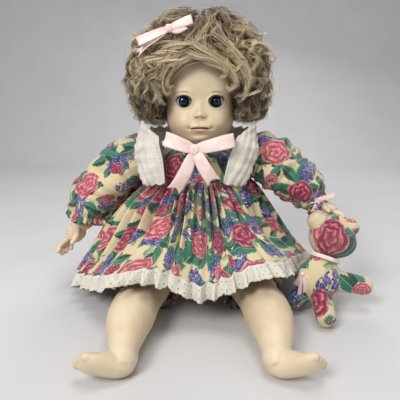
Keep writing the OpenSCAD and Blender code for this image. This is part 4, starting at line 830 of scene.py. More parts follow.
for cx, cz, rx, rz in openings:
    r = np.hypot((x - cx) / rx, (z - cz) / rz)
    inside = (r[:-1, :-1] < 1) & (r[1:, :-1] < 1) & (r[:-1, 1:] < 1) & (r[1:, 1:] < 1)
    edge = touched(inside) & touched(~inside)
    keep &= ~inside
    x = np.where(edge, cx + (x - cx) / np.maximum(r, 1e-6), x)
    z = np.where(edge, cz + (z - cz) / np.maximum(r, 1e-6), z)
face_faces = quads(len(rows), len(phi))[keep.reshape(-1)]
face = build("face_skin", np.stack([x, front(x, z), z], -1), face_faces, "head",
             material=face_finish.material, slot="face_vinyl")
modify(face, "SOLIDIFY", thickness=0.8 * MM, offset=-1.0)
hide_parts("face_shell")
print("face quads:", len(face_faces))

# %% [markdown]
# The lower lip is a soft pad on the front of the jaw. It closes the mouth at rest, and it comes down
# over the hollow of the chin as the jaw opens.

# %% Lower lip
v, u = np.meshgrid(np.linspace(-1, 1, 25), np.linspace(-1, 1, 41), indexing="ij")
lip_x = 10.8 * u
lip_top = 231.9 - 0.9 * np.abs(u) ** 3 + 0.25 * np.cos(u * 6)
lip_low = 227.0 + 2.9 * u**2
lip_z = lip_low + (lip_top - lip_low) * (v + 1) / 2
pout = 3.1 * (1 - u**4) * np.sqrt(np.maximum(1 - np.abs(v) ** 2.6, 0))
lip_y = front(lip_x, np.full_like(lip_z, 228.0)) + 1.6 - pout
lip = grid("lower_lip_pad", np.stack([lip_x, lip_y, lip_z], -1), "jaw", material=lip_finish.material,
           slot="lip_vinyl")
modify(lip, "SOLIDIFY", thickness=1.2 * MM, offset=-1.0)
print("lip stands out by", round(float(pout.max()), 1), "mm")

# %% [markdown]
# Each eye is a ball of 23 mm with a slight cornea bulge. Both turn with the eye shaft, and so do the
# lashes, which are set along the front edge of the lid.

# %% Eyeballs and lashes
BALL_R, LID_R, LASHES = 11.5, 12.1, 64
ball_y = low_high("eyeballs")[0][1] + BALL_R
v, u = polar(49, 64)
radius = BALL_R + 0.9 * np.exp(-(v / 0.52) ** 4)
ball = np.stack([radius * np.sin(v) * np.cos(u), -radius * np.cos(v), radius * np.sin(v) * np.sin(u)], -1)
points, faces = joined([capped(ball + np.array([side * EYE_X, ball_y, EYE_Z])) for side in (-1, 1)])
eyes = build("eyes_glossy", points, faces, "eyes", material=eye_finish.material, slot="eye_white")
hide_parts("eyeballs", "irises")


def hairs(path, radius):
    """Tapered hairs of three sides along paths (count, steps, 3): the radius falls as 1 - 0.85 t ** 1.5."""
    count, steps = path.shape[:2]
    sides = 3
    t = np.linspace(0, 1, steps)[None, :, None, None]
    d = unit(np.gradient(path, axis=1))
    side = unit(np.cross(d, np.array([0.31, 0.2, 0.93])))
    up = np.cross(side, d)
    a = angles(sides)[:, None]
    ring = np.cos(a) * side[:, :, None] + np.sin(a) * up[:, :, None]
    points = path[:, :, None] + radius[:, None, None, None] * (1 - 0.85 * t**1.5) * ring
    faces = quads(steps, sides, loop_u=True)[None] + (np.arange(count) * steps * sides)[:, None, None]
    return points.reshape(-1, 3), faces.reshape(-1, 4)


def lashes(side):
    """Lashes of one eye: rooted on the lid's front edge, they start forwards and bend up."""
    s = np.linspace(-1, 1, LASHES)
    ones = np.ones(LASHES)
    lid, off = np.radians(150), np.sqrt(LID_R**2 - (8.2 * s) ** 2)
    root = np.stack([side * EYE_X + 8.2 * s, ball_y + np.cos(lid) * off, EYE_Z + np.sin(lid) * off], -1)
    way = unit(np.stack([0.35 * s, -ones, 0.05 * ones], -1) + rng.normal(0, 0.06, (LASHES, 3)))
    bend = np.stack([0.25 * s, 0.1 * ones, 0.55 * ones], -1)
    t = np.linspace(0, 1, 6)[:, None]
    long = (3.6 + 1.2 * np.abs(s) + rng.normal(0, 0.3, LASHES))[:, None, None]
    return hairs(root[:, None] + long * (way[:, None] * t + bend[:, None] * t**2), 0.16 * ones)


points, faces = joined([lashes(side) for side in (-1, 1)])
build("upper_lashes", points, faces, "eyes", material=lash_finish.material)
print("lashes:", 2 * LASHES)

# %% [markdown]
# Arms and legs are hollow vinyl with creases at the wrists and ankles and a row of toes. Tubes along
# the limb, the foot and each toe or finger are joined, and a voxel remesh with some smoothing welds
# them into one skin, the way a sculptor blends clay.

# %% Limb skins


def welded(name, parts, body, node, voxel, smooth):
    """One smooth vinyl skin over several closed tubes, in place of a CAD node."""
    points, faces = joined(parts)
    obj = build(name, points, faces, body)
    modify(obj, "REMESH", mode="VOXEL", voxel_size=voxel * MM, use_smooth_shade=True)
    modify(obj, "SMOOTH", factor=0.6, iterations=smooth)
    apply_all(obj)
    obj.data.materials.clear()
    obj.data.materials.append(limb_finish.material)
    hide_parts(node)
    return obj


def ball_part(middle, size, turn=(0, 0, 0)):
    """Closed ellipsoid round a middle, turned by small angles in degrees."""
    v, u = polar(15, 20)
    p = np.stack([np.cos(v), np.sin(v) * np.cos(u), np.sin(v) * np.sin(u)], -1) * np.asarray(size, float)
    m = np.array(Euler([math.radians(a) for a in turn]).to_matrix())
    return capped(p @ m.T + np.asarray(middle, float))


hip_x, hip_z, hip_y = 15.0, 38.0, -10.0
# stations of tubes: x, y, z, side radius, up radius
leg_form = [
    [31, 18, 38, 14, 19], [32, 10, 38, 24, 27], [33, -10, 38, 31, 33], [38, -34, 37, 32, 33],
    [46, -68, 35, 31, 31.5], [54, -104, 32, 28, 28], [58, -126, 30, 25.5, 26.5], [62, -150, 29.5, 27, 27.5],
    [64, -172, 28, 25.5, 26], [64, -194, 24, 20, 20.5], [63, -210, 20, 15.5, 16.5], [62, -222, 17, 15, 16],
    [61, -232, 15, 9, 10]]
foot_form = [
    [53, -217, 11, 7, 7], [58, -220, 12.5, 12, 11.5], [67, -224, 15, 13.5, 13.5], [77, -229, 19, 14, 12],
    [86, -234, 23, 14.5, 9.5], [93, -237, 26.5, 14, 7.5], [98, -239, 29, 9, 4.5]]
toe_sizes = [4.9, 4.1, 3.8, 3.5, 3.3]


to_hip = np.array([hip_x, 0, 0, 0, 0])
leg_parts = [capped(tube(np.array(leg_form) + to_hip, (0, 0, 1), 90, 48)),
             capped(tube(np.array(foot_form) + to_hip, (0.3, 0.8, 0.6), 40, 36))]
big, little = np.array([hip_x + 90, -240, 34.5]), np.array([hip_x + 104, -231, 17.5])
for i, toe in enumerate(toe_sizes):
    middle = big + (little - big) * i / 4 + 3 * math.sin(math.radians(45 * i)) * np.array([0.9, -0.3, 0.35])
    leg_parts.append(ball_part(middle, np.array([1.5, 1, 1]) * toe, (0, -20, -18)))
for word, parts in (("left", leg_parts), ("right", mirrored_parts(leg_parts))):
    leg = welded(f"leg_skin_{word}", parts, f"{word}_leg", f"leg_{word}", voxel=1.3, smooth=2)
print("leg skin faces:", len(leg.data.polygons))

arm_root = [[54.4, 0, 186, 19, 19], [60.4, 0, 186, 19.5, 19.5]]
arm_form = {
    "right": arm_root + [[84, -2, 180, 18, 18], [106, -6, 162, 16.5, 16.5], [127, -10, 139, 15.5, 15.5],
                         [146, -15, 117, 13.5, 13.5], [160, -20, 100, 10.5, 10], [170, -26, 90, 13, 8],
                         [179, -34, 82, 13.5, 7.5], [184, -38, 78, 11, 5.5]],
    "left": arm_root + [[84, -2, 181, 18, 18], [104, -6, 168, 16.5, 16.5], [126, -13, 152, 15.5, 15.5],
                        [147, -21, 138, 13.5, 13.5], [164, -29, 127, 10.5, 10], [172, -35, 123.5, 12.5, 8],
                        [181, -41, 120, 12.5, 7.5], [185, -44, 118, 10, 5.5]]}
# each finger: root, knuckle and tip; the thumb comes last
fingers = {
    "right": [[176, -27, 82, 184, -35, 71, 182, -43, 63], [179, -32, 79, 189, -41, 69, 187, -50, 61],
              [183, -38, 77, 192, -48, 68, 190, -57, 61], [185, -44, 78, 193, -54, 72, 193, -63, 67],
              [172, -36, 90, 171, -49, 84, 175, -57, 77]],
    "left": [[180, -34, 116, 189, -37, 112, 196, -44, 108], [183, -39, 117, 192, -44, 113, 197, -53, 109],
             [184, -44, 117, 192, -51, 114, 196, -60, 112], [183, -49, 118, 189, -57, 117, 189, -66, 117],
             [171, -41, 124, 168, -53, 126, 170, -63, 124]]}
for word in ("right", "left"):
    up = (-0.6, 0.4, 0.5) if word == "right" else (0.3, 0.3, 1)
    parts = [capped(tube(arm_form[word], up, 70, 40))]
    for finger in fingers[word]:
        p = np.array(finger, float).reshape(3, 3)
        tip = p[2] + 2.4 * unit(p[2] - p[1])
        stations = [[*p[0], 4.2, 4.2], [*((p[0] + p[1]) / 2), 4.2, 4.1], [*p[1], 3.9, 3.7],
                    [*((p[1] + p[2]) / 2), 3.6, 3.4], [*p[2], 3.2, 3.0], [*tip, 1.2, 1.0]]
        parts.append(capped(tube(stations, (0, -0.4, 1), 18, 16)))
    if word == "right":
        parts = mirrored_parts(parts)
    arm = welded(f"arm_skin_{word}", parts, f"{word}_arm", f"arm_{word}", voxel=1.0, smooth=4)
print("arm skin faces:", len(arm.data.polygons))

# %% [markdown]
# The skirt is one length of cloth gathered into the waist seam. A column of it is a Bezier curve from
# the seam out over the knees to the hem, and the gathers are waves that run down it: many small ones
# at the seam that join into fewer, deeper folds lower down.

# %% Skirt
WAIST_Z, WAIST_W = 161.0, 122.0
hem_form = [
    [0, 106, 20], [-88, 96, 20], [-140, 62, 24], [-172, 2, 32], [-170, -52, 36], [-142, -98, 50],
    [-104, -138, 70], [-62, -152, 84], [-32, -150, 78], [0, -144, 60], [34, -150, 75], [66, -152, 91],
    [100, -128, 82], [124, -66, 62], [158, -4, 44], [140, 62, 26], [88, 96, 20]]
COLUMNS, PLEATS = 640, 30
hem = spline(hem_form, COLUMNS, loop=True)
turn = angles(COLUMNS)
hem_angle = np.arctan2(hem[:, 1] + 22, hem[:, 0] * 0.8)
away = np.stack([np.cos(hem_angle), np.sin(hem_angle), np.zeros(COLUMNS)], -1)


def power(v, e):
    """Power of the size of v, with the sign of v."""
    return np.sign(v) * np.abs(v) ** e


def oval(a, w, f, b):
    """Super-ellipse of power 2.2: w to the sides, f towards -Y and b towards +Y."""
    s = np.sin(a)
    return np.stack([w * power(np.cos(a), 2 / 2.2), np.where(s < 0, f, b) * power(s, 2 / 2.2)], -1)


def ripple(count, seed, spread=0.35):
    """Smooth periodic waves of about `count` to the turn whose phase and depth wander."""
    r = np.random.default_rng(seed)
    phase = sum(r.normal(0, spread) / k * np.sin(k * turn + r.uniform(0, 6.3)) for k in range(1, 7))
    depth = 1 + sum(r.normal(0, 0.3) / np.sqrt(k) * np.sin(k * turn + r.uniform(0, 6.3))
                    for k in range(1, 9))
    return np.sin(count * turn + 3 * phase) * depth


pleat_phase = PLEATS * turn / 2 + 0.9 * np.sin(3 * turn + 1) + 0.5 * np.sin(7 * turn)
fold_main = 1.9 * np.abs(np.sin(pleat_phase)) ** 0.7 - 1.15
fold_main = fold_main * (0.75 + 0.45 * np.sin(5 * turn + 2 * np.sin(2 * turn)))
fold_mid, fold_fine = ripple(39, 3), ripple(88, 5, 0.6)


def skirt_table(t):
    """Points of the skirt at shares t of the way from seam to hem; waves are pushed out along `away`."""
    t = np.asarray(t, float)[:, None, None]
    top = np.concatenate([oval(hem_angle, WAIST_W / 2, 58, 48), np.full((COLUMNS, 1), WAIST_Z - 0.2)], 1)
    lift = np.clip((hem[:, 2:] - 34) / 34, 0, 1)
    p1 = top + 20 * away - np.array([0, 0, 12.0])
    p2 = hem - (44 + 26 * lift) * away + np.concatenate([np.zeros((COLUMNS, 2)), 58 - 28 * lift], 1)
    u = 1 - t
    body = u**3 * top + 3 * u**2 * t * p1 + 3 * u * t**2 * p2 + t**3 * hem
    sharp = 1.25 * fold_main + 0.6 * fold_mid
    big = (9.5 * np.sin(np.pi * t**0.62) ** 1.5 + 3.4 * t) * sharp[None, :, None] * (1 - np.exp(-t / 0.06))
    small = 1.9 * np.exp(-t / 0.26) * (1 - np.exp(-t / 0.02)) * fold_fine[None, :, None]
    sag = 2.6 * np.sin(t * np.pi) ** 2 * np.sin(3 * turn + 5 * t[..., 0])[..., None]
    sag = sag + 1.1 * t * np.sin(23 * turn + 9 * t[..., 0] + 2 * np.sin(7 * turn))[..., None]
    return body + (big + small + sag) * away[None]


def along_rows(table, loop_u=True):
    """Length of each step along the rows of a table."""
    closed = np.concatenate([table, table[:, :1]], 1) if loop_u else table
    return np.linalg.norm(np.diff(closed, axis=1), axis=2)


def cloth_uv(table, loop_u=True):
    """UV in metres and the flat size: u runs along the longest row, v down the middle of the columns."""
    step = along_rows(table, loop_u)
    u = np.concatenate([[0], np.cumsum(step[step.sum(1).argmax()])])
    v = np.concatenate([[0], np.cumsum(np.linalg.norm(np.diff(table, axis=0), axis=2).mean(1))])
    uv = np.stack(np.meshgrid(u, v), -1) * MM
    return uv, (float(u[-1] * MM), float(v[-1] * MM))


def sewn(name, table, body, look, nodes=(), thickness=0.8, loop_u=True, flip=False, uv=None,
         shift=0.0, holes=None):
    """Sheet of cloth over a table: it stands for CAD nodes.

    `shift` moves its print, `uv` makes the UV from the plain one, and `holes` says which faces are left out.
    """
    own_uv, size = cloth_uv(table, loop_u)
    uv = (own_uv if uv is None else uv(own_uv)) + shift
    obj = grid(name, table, body, uv=uv, loop_u=loop_u, flip=flip, **look)
    if holes:
        bm = bmesh.new()
        bm.from_mesh(obj.data)
        cut = [f for f in bm.faces if holes(f.calc_center_median())]
        bmesh.ops.delete(bm, geom=cut, context="FACES")
        bm.to_mesh(obj.data)
        bm.free()
    if nodes:
        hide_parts(*nodes)
    area(obj)
    modify(obj, "SOLIDIFY", thickness=thickness * MM, offset=-1.0)
    print(f"{name}: flat {size[0]:.3f} x {size[1]:.3f} m")
    return obj


FLORAL = {"material": floral_finish.material, "slot": "floral_cotton"}
LACE = {"material": lace_finish.material, "slot": "white_lace"}
COLLAR = {"material": collar_finish.material, "slot": "white_lace"}
SATIN = {"material": satin_finish.material, "slot": "satin"}


def across_pleats(uv):
    """UV of the skirt: drawn at a bit over half scale across, because the pleats hide much of the cloth."""
    scale = along_rows(table).sum(1).max() * MM * (0.54 + 0.10 * rows**2)
    return np.stack([(uv[..., 0] / uv[0, -1, 0] - 0.5) * scale[:, None], uv[..., 1]], -1)


rows = np.linspace(0, 1, 66) ** 1.1
table = skirt_table(rows)
sewn("skirt_cloth", table, "torso", FLORAL, ["skirt"], thickness=0.9, flip=True,
     uv=across_pleats)

# %% [markdown]
# The hem ruffle is a strip of eyelet lace as long as the skirt's own folded hem. It is gathered onto
# the hem. Its lower edge is scalloped: each scallop is half a sine wave.

# %% Hem ruffle
t = np.linspace(0, 1, 14)[:, None]
wave = np.sin(41 * turn + 1.6 * np.sin(5 * turn)) * (0.8 + 0.35 * np.sin(9 * turn)) + 0.45 * fold_mid
scallop = 1.5 * np.abs(np.sin(68 * turn))
edge = skirt_table([1.0])[0]
on_leg = np.exp(-((np.abs(edge[:, 0]) - 72) / 34) ** 2) * (edge[:, 1] < -60)
depth_r = (18.5 - 7.0 * on_leg) * t + scallop * t**2
out = (5.5 + 8.0 * on_leg) * t + 6.4 * wave * t**0.8
table = edge[None] + out[..., None] * away[None]
table[..., 2] = np.maximum(table[..., 2] - (0.4 + depth_r - 3.2 * wave * t**1.3), 0.8)
sewn("hem_ruffle_lace", table, "torso", LACE, ["hem_ruffle"], thickness=0.6,
     flip=True)

# %% [markdown]
# The bodice is a short tube from the waist seam to the neck. Cloth that is only basted to a round
# body shows shallow creases that run between the armholes, so its rings get a little of two waves.

# %% Bodice
# height, half-width, front depth, back depth
bodice_form = [[161, 61, 58, 48], [172, 61, 56, 48], [188, 54, 52, 45], [197, 46, 44, 40],
               [203, 34, 33, 30]]
s = spline(bodice_form, 44)
a = angles(240)
ring_xy = np.stack([oval(a, w, f, b) for _, w, f, b in s])
crease = 1 + 0.008 * np.sin(16 * a)[None] * np.linspace(1, 0.2, 44)[:, None]
crease = crease + 0.006 * np.sin(5 * a + s[:, :1] * 0.2)
table = np.concatenate([ring_xy * crease[..., None], np.broadcast_to(s[:, :1, None], (44, 240, 1))], -1)


def armhole(c):
    """Whether a place, in metres, lies in one of the two armholes."""
    return math.hypot(c.y, c.z - 0.186) < 0.0225 and abs(c.x) > 0.02


sewn("bodice_cloth", table, "torso", FLORAL, ["bodice"], holes=armhole)

# %% [markdown]
# A puffed sleeve is a wide tube, gathered into the armhole. The right one is open at the wrist, and
# the left one is gathered by a ribbon. Its folds start at the gathers and fade along the tube. The
# sleeve stays where it is sewn on to the torso and does not move with the arm that it hides.

# %% Sleeves
# middle and radius
sleeve_root = [[57, 0, 186, 22], [66, 0, 186.5, 27], [84, -2, 188, 31]]
sleeve_form = {
    "right": sleeve_root + [
        [106, -5, 176, 34], [128, -8, 159, 35], [146, -12, 136, 34], [156, -16, 114, 32],
        [160, -18, 97, 29]],
    "left": sleeve_root + [
        [104, -6, 179, 34], [124, -11, 166, 34], [143, -18, 149, 31], [156, -25, 135, 24],
        [163, -29, 128, 14.5], [168, -32, 123, 18]]}


def sleeve_table(form, seed, gathered):
    """Tube of a sleeve with its gathers, and with folds that come from sums of random waves."""
    rows, sides = 96, 200
    r = np.random.default_rng(seed)
    stations = np.array([[x, y, z, q, q] for x, y, z, q in form])
    rings = tube(stations, (0, 1, 0.2), rows, sides)
    mid = rings.mean(1, keepdims=True)
    t = np.linspace(0, 1, rows)[:, None]
    a = angles(sides)[None]
    twist = 0.9 * t * r.normal(0, 1)
    gather = 0.075 * np.exp(-t / 0.16) * np.sin(23 * a + 1.5 * np.sin(2 * a))


    def near(at, wide):
        """Bell round a place along the sleeve."""
        return np.exp(-((t - at) / wide) ** 2)

    if gathered:
        gather = gather + 0.16 * near(0.93, 0.10) * np.sin(19 * a + np.sin(3 * a))
        gather = gather - 0.13 * near(0.50, 0.030) + 0.06 * near(0.42, 0.06)
    else:
        gather = gather - 0.10 * near(0.90, 0.03) + 0.07 * near(0.96, 0.07) * np.sin(27 * a)
    fold = sum(0.030 * r.normal(0, 1) * np.sin(k * a + twist * k + r.uniform(0, 6.3) + 2.5 * t)
               for k in range(3, 9))
    hang = sum(0.026 * r.normal(0, 1) * np.sin((5 + 3 * k) * t * 3 + 2 * a * (k % 2) + r.uniform(0, 6.3))
               * np.sin(a * (1 + k % 3) + r.uniform(0, 6.3)) for k in range(6))
    crumple = sum(0.012 * r.normal(0, 1) * np.sin((9 + 4 * k) * t * 3 + r.uniform(0, 6.3)
                                                  + 3 * np.sin(a * (1 + k % 2) + r.uniform(0, 6.3)))
                  for k in range(8))
    ends = np.clip(t / 0.06, 0, 1)
    return mid + (rings - mid) * (1 + (gather + (fold + crumple + hang) * ends))[..., None]


for word, side, seed, shift in (("right", -1, 21, 0.37), ("left", 1, 33, 0.11)):
    table = sleeve_table(sleeve_form[word], seed, word == "left")
    sleeve = sewn(f"sleeve_cloth_{word}", table if side > 0 else mirrored(table), None, FLORAL,
                  [f"sleeve_{word}"], flip=side > 0, shift=shift)
    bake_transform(sleeve)

# %% [markdown]
# The collar is two wide wings of eyelet lace that stand out over the shoulders. A wing is ruled from
# its inner to its outer edge, with a belly between them, a scalloped outer edge and a soft flute.

# %% Collar
# height and x, y of the inner edge, then the same of the outer edge
wing_form = [[163, 45, -67, 158, 72, -55], [172, 45, -68, 167, 77, -51], [182, 46, -68, 178, 81, -47],
             [192, 47, -67, 189, 84, -45], [201, 49, -65, 200, 84.5, -43], [209, 51, -62, 212, 83.5, -41],
             [214, 52, -59, 222, 81, -40], [218, 52, -56, 231, 78, -39], [221, 53, -53, 241, 74, -37]]
rows, columns = 110, 64
s = spline(wing_form, rows)
along = np.linspace(0, 1, rows)[:, None]
k = np.linspace(0, 1, columns)[None, :]
inner, outer = s[:, None, 1:3], s[:, None, 4:6]
width = np.linalg.norm(outer - inner, axis=2)
kk = k * (1 + 0.05 * np.abs(np.sin(along * np.pi * 11)) * np.clip(width / 30, 0, 1))
flat = inner + (outer - inner) * kk[..., None]
flute = (2.6 * np.sin(along * 15 + 1.0 + 2 * kk) + 1.3 * np.sin(along * 37 + 3 * kk)) * kk**1.3
folds = 2.2 * np.sin(kk * 9 + along * 5) * np.sin(np.pi * along) + 1.0 * np.sin(kk * 21 - along * 9)
belly = -0.40 * width * kk * (1 - 0.92 * kk) + flute + 0.6 * folds
bottom = 5.0 * np.exp(-along / 0.05) * np.sin(kk * np.pi * 3) ** 2
rise = s[:, :1] + (s[:, 3:4] - s[:, :1]) * kk + 1.2 * np.sin(kk * 5) * np.sin(along * 13) - 0.4 * bottom
bulge = 0.10 * width * np.sin(np.pi * np.clip(kk, 0, 1))
table = np.stack([flat[..., 0] + bulge, flat[..., 1] + belly, rise], -1)
for word, side, shift, nodes in (("left", 1, -11.0, ["collar"]), ("right", -1, 0.0, [])):
    p = table + (shift * (1.4 - along))[..., None] * np.array([1.0, 0, 0])
    sewn(f"collar_wing_{word}", p if side > 0 else mirrored(p), "torso", COLLAR,
         nodes, thickness=0.5, loop_u=False, flip=side > 0)

# the band that joins the wings round the nape: it rises from the neck seam and its edge is frilled
a = np.radians(np.linspace(50, 310, 260))[None, :]
k = np.linspace(0, 1, 22)[:, None]
frill = (1.9 * np.sin(23 * a + 2 * np.sin(3 * a)) + 0.5 * np.sin(47 * a)) * k**1.4
reach = 58 + 22 * k + 0.5 * frill
rise = 208 + 18.5 * k**0.8 + 0.7 * frill
table = np.stack([-3 + reach * np.sin(a), -6 - 0.86 * reach * np.cos(a), rise], -1)
sewn("collar_band", table, "torso", COLLAR, thickness=0.5, loop_u=False,
     flip=True)

# %% [markdown]
# A satin ribbon keeps its width and bends only along its length, so it is made as a strip carried
# along a curve. A bow is two loops, a knot and two tails whose ends are cut to points.

# %% Ribbons


def ribbon(path, width, across, cut):
    """Strip along a path: a point is path + across * s, with s over half the width each way."""
    rows, columns = 80, 9
    p = spline(path, rows)
    d = unit(np.gradient(p, axis=0))
    w = np.asarray(across, float)
    w = unit(w - (d @ w)[:, None] * d)
    t, s = np.linspace(0, 1, rows), np.linspace(-1, 1, columns)[None, :, None]
    wide = np.interp(t, np.linspace(0, 1, len(width)), width)[:, None, None]
    end = cut * (1 - np.abs(s)) * np.clip((t[:, None, None] - 0.8) / 0.2, 0, 1) ** 2
    arched = 0.6 * np.cross(d, w)[:, None] * (1 - s**2)
    return p[:, None] + w[:, None] * s * wide / 2 + arched - d[:, None] * end


def bow(name, middle, loops, tails, width, body, knot, nodes=(), hangs=()):
    """Satin bow: loops and tails are (path, across) pairs from the knot, in mm from its middle.

    The knot is a rounded, pinched barrel with the three half-sizes `knot`.
    """
    parts, uvs = [], []
    middle = np.asarray(middle, float)
    strips = [(*strip, 0.0, [0.42, 0.85, 1, 1, 1, 0.85, 0.42]) for strip in loops]
    strips += [(*strip, 0.55 * width, [0.5, 0.85, 1, 1, 1.05]) for strip in tails]
    for path, across, cut, profile in strips:
        p = ribbon(np.asarray(path, float) + middle, width * np.array(profile), across, cut)
        parts.append((p, quads(*p.shape[:2])))
        uvs.append(uv_corners(cloth_uv(p, loop_u=False)[0]))
    points, faces = joined(parts)
    satin = build(name, points, faces, body, uv=np.concatenate(uvs), **SATIN)
    wide = max(width, 10.0) * MM
    area(satin) / wide
    area(satin)
    modify(satin, "SOLIDIFY", thickness=0.35 * MM, offset=0.0)
    a, v = np.meshgrid(angles(28), np.linspace(-1, 1, 17)[1:-1])
    r = (1 - np.abs(v) ** 2.6) ** (1 / 2.6)
    pinch = 1 + 0.10 * np.cos(7 * a) * (1 - np.abs(v))
    table = np.stack([r * np.cos(a) * pinch, r * np.sin(a) * pinch, v], -1) * np.array(knot) + middle
    points, faces = capped(table)
    build(name + "_knot", points, faces, body, material=satin_knot.material, slot="satin")
    if nodes:
        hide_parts(*nodes)


def satin_band(name, middle, way, start, radius, half, stations, rows, nodes=()):
    """Satin ring, 2 * half wide round the direction `way`: middle + radius * (cos a side + sin a up)."""
    side = unit(np.cross(start, way))
    a = angles(stations)[:, None]
    ring = spline(middle + radius * (np.cos(a) * side + np.sin(a) * np.cross(way, side)), 96, loop=True)
    table = ring[None] + np.linspace(-half, half, rows)[:, None, None] * way
    sewn(name, table, "left_arm", SATIN, nodes, thickness=0.4,
         uv=lambda uv: uv[..., ::-1])


LEVEL = np.array([1.0, 0, 0.15])


def loop(length, depth, lean, side, rise=0.0):
    """Path of a flattened loop, and the direction across its ribbon, which leans with it.

    The path leaves the knot forwards, runs out to `length` and comes back behind itself.
    """
    a = np.linspace(0, 2 * np.pi, 15)
    x = length * (1 - np.cos(a)) / 2
    y = -depth / 2 * np.sin(a) * (0.35 + 0.65 * np.sin(a / 2))
    z = rise * np.sin(a / 2) ** 2
    c, s = math.cos(math.radians(lean)), math.sin(math.radians(lean))
    return np.stack([side * (x * c + z * s), y, z * c - x * s], -1), np.array([side * s, 0.22, c])


bow_at = np.array([-7.0, -74.0, 207.0])
bow("neck_bow_satin", bow_at,
    [loop(50, 13, -10, 1, 3), loop(39, 13, -18, -1, 2)],
    [([[0, 0, -2], [-5, -5, -13], [-11, -8, -27], [-19, -8, -41], [-27, -6, -52]], (1.0, 0.2, -0.45)),
     ([[0, 0, -2], [6, -6, -10], [12, -8, -21], [19, -8, -32], [25, -6, -41]], (1.0, -0.1, 0.55))],
    width=17.0, body="torso", knot=(6.6, 5.6, 7.4), nodes=["neck_bow"], hangs=["bodice_cloth"])

hair_box = low_high("hair_ribbon")
centre = (hair_box[0] + hair_box[1]) / 2
bow("hair_ribbon_satin", centre,
    [loop(28, 8, -16, 1, 2), loop(40, 7, 24, -1, 2)],
    [([[0, 0, 0], [-12, -1, -7], [-26, 2, -16], [-40, 8, -28]], (0.5, 0.2, 1.0)),
     ([[0, 0, 0], [10, -3, -1], [20, -3, 4]], (-0.2, 0.2, 1.0))],
    width=10.5, body="head", knot=(4.6, 4.4, 5.0), nodes=["hair_ribbon"], hangs=["hair"])

cuff_end = np.array([163, -29, 128.0])
way = unit(cuff_end - np.array([156, -25, 135.0]))
satin_band("cuff_band_satin", cuff_end - 3.5 * way, way, [0, 1, 0.2], radius=16.0, half=4, stations=32, rows=7)
bow("cuff_bow_satin", cuff_end + 16.5 * unit(np.array([0.1, -1.0, 0.35])) - 2 * way,
    [loop(20, 6, -18, 1), loop(18, 6, 6, -1)],
    [([[0, 0, 0], [5, -3, -8], [8, -2, -20]], LEVEL), ([[0, 0, 0], [-5, -3, -8], [-9, -2, -18]], LEVEL)],
    width=7.0, body="left_arm", knot=(3.4, 3.4, 3.6), nodes=["cuff_ribbon"], hangs=["sleeve_cloth_left"])
print("bows tied")

# %% [markdown]
# The bloomers are the same chintz: a round seat and two short gathered legs, each open round its
# thigh. The seat is a clipped ball with soft creases, and the legs are frilled tubes.

# %% Bloomers
bloomer_form = [
    [31, 16, 38, 22, 24], [32, 8, 38, 30, 31], [33, -10, 38, 34, 35.5], [37, -34, 38, 35, 35],
    [42, -56, 37, 34.5, 35], [47, -76, 36, 33.5, 34], [50, -86, 35, 33.5, 34], [53, -99, 33, 38, 38]]
rings = tube(np.array(bloomer_form) + to_hip, (0, 0, 1), 64, 150)
mid = rings.mean(1, keepdims=True)
t = np.linspace(0, 1, 64)[:, None]
a = angles(150)[None]
frill = 0.05 * np.exp(-((t - 0.86) / 0.07) ** 2) * np.sin(25 * a)
frill = frill + 0.06 * np.clip((t - 0.88) / 0.12, 0, 1) * np.sin(21 * a)
creases = 0.016 * np.sin(4 * a + 5 * t) + 0.016 * np.sin(7 * t * 2 + 2 * a)
table = mid + (rings - mid) * (1 + frill + creases)[..., None]
table[..., 2] = np.maximum(table[..., 2], 0.4)
table[..., 0] = np.maximum(table[..., 0], 15.3)
for word, side in (("left", 1), ("right", -1)):
    sewn(f"bloomer_cloth_{word}", table if side > 0 else mirrored(table), f"{word}_leg", FLORAL,
         [f"bloomer_leg_{word}"], flip=side > 0, shift=0.21 * side)

SEAT = np.array([0.0, 14.0, 50.0])
v, u = polar(80, 200)
pleats = 1 + 0.014 * np.sin(21 * u + 2 * np.sin(3 * u)) * np.sin(v) ** 2 + 0.012 * np.sin(5 * u + 6 * v)
ball = np.stack([57 * np.sin(v) * np.cos(u), 48 * np.sin(v) * np.sin(u), 50 * np.cos(v)], -1)
table = SEAT + ball * pleats[..., None]
thigh = np.clip((np.abs(table[..., 0]) - 13.5) / 3, 0, 1)
from_hip = np.maximum(table[..., 1:] - np.array([hip_y, hip_z]), -0.01)
reach = np.maximum(1, 38.5 / np.maximum(np.hypot(from_hip[..., 0], from_hip[..., 1]), 1.0))
pushed = np.array([hip_y, hip_z]) + from_hip * reach[..., None]
table[..., 1:] += thigh[..., None] * (pushed - table[..., 1:]) * (reach[..., None] > 1)
table[..., 2] = np.clip(table[..., 2], 0.5, 86.0)
sewn("bloomer_seat_cloth", table, "torso", FLORAL, ["bloomer_seat"], flip=True,
     shift=0.5)

# %% [markdown]
# The hair is a wig of loose curls. A cap painted dark, as the shade in the depth of the wig, fills
# that depth. Over it, the middle of each lock is a run of steps on a super-ellipsoid round the head.
# The lock is a ringlet: its fibres stand off the middle by r (cos f, sin f), across and out of the
# wig, where r grows towards the tip and f winds round. Each fibre adds small changes of its own.

# %% Wig shape
WIG = np.array([-1.0, 0.0, 292.0])


def wig_radius(d, share=1.0):
    """Distance from the middle of the wig to its surface in the directions d."""
    low = d[..., 2] < 0
    e = np.where(low, 3.0, 2.2)
    reach = (95.0, np.where(d[..., 1] < 0, 71.0, 90.0), np.where(low, 74.0, 88.0))
    return share * sum((np.abs(d[..., k]) / reach[k]) ** e for k in range(3)) ** (-1 / e)


def on_wig(p, share):
    """The points p moved in or out to shares of the wig's depth."""
    d = unit(p - WIG)
    return WIG + d * wig_radius(d, share)[..., None]


def hairline(x):
    """Lowest height of the hair over the forehead: it dips to both sides."""
    return 309 - 0.028 * np.clip(np.abs(x + 6) - 16, 0, None) ** 1.9


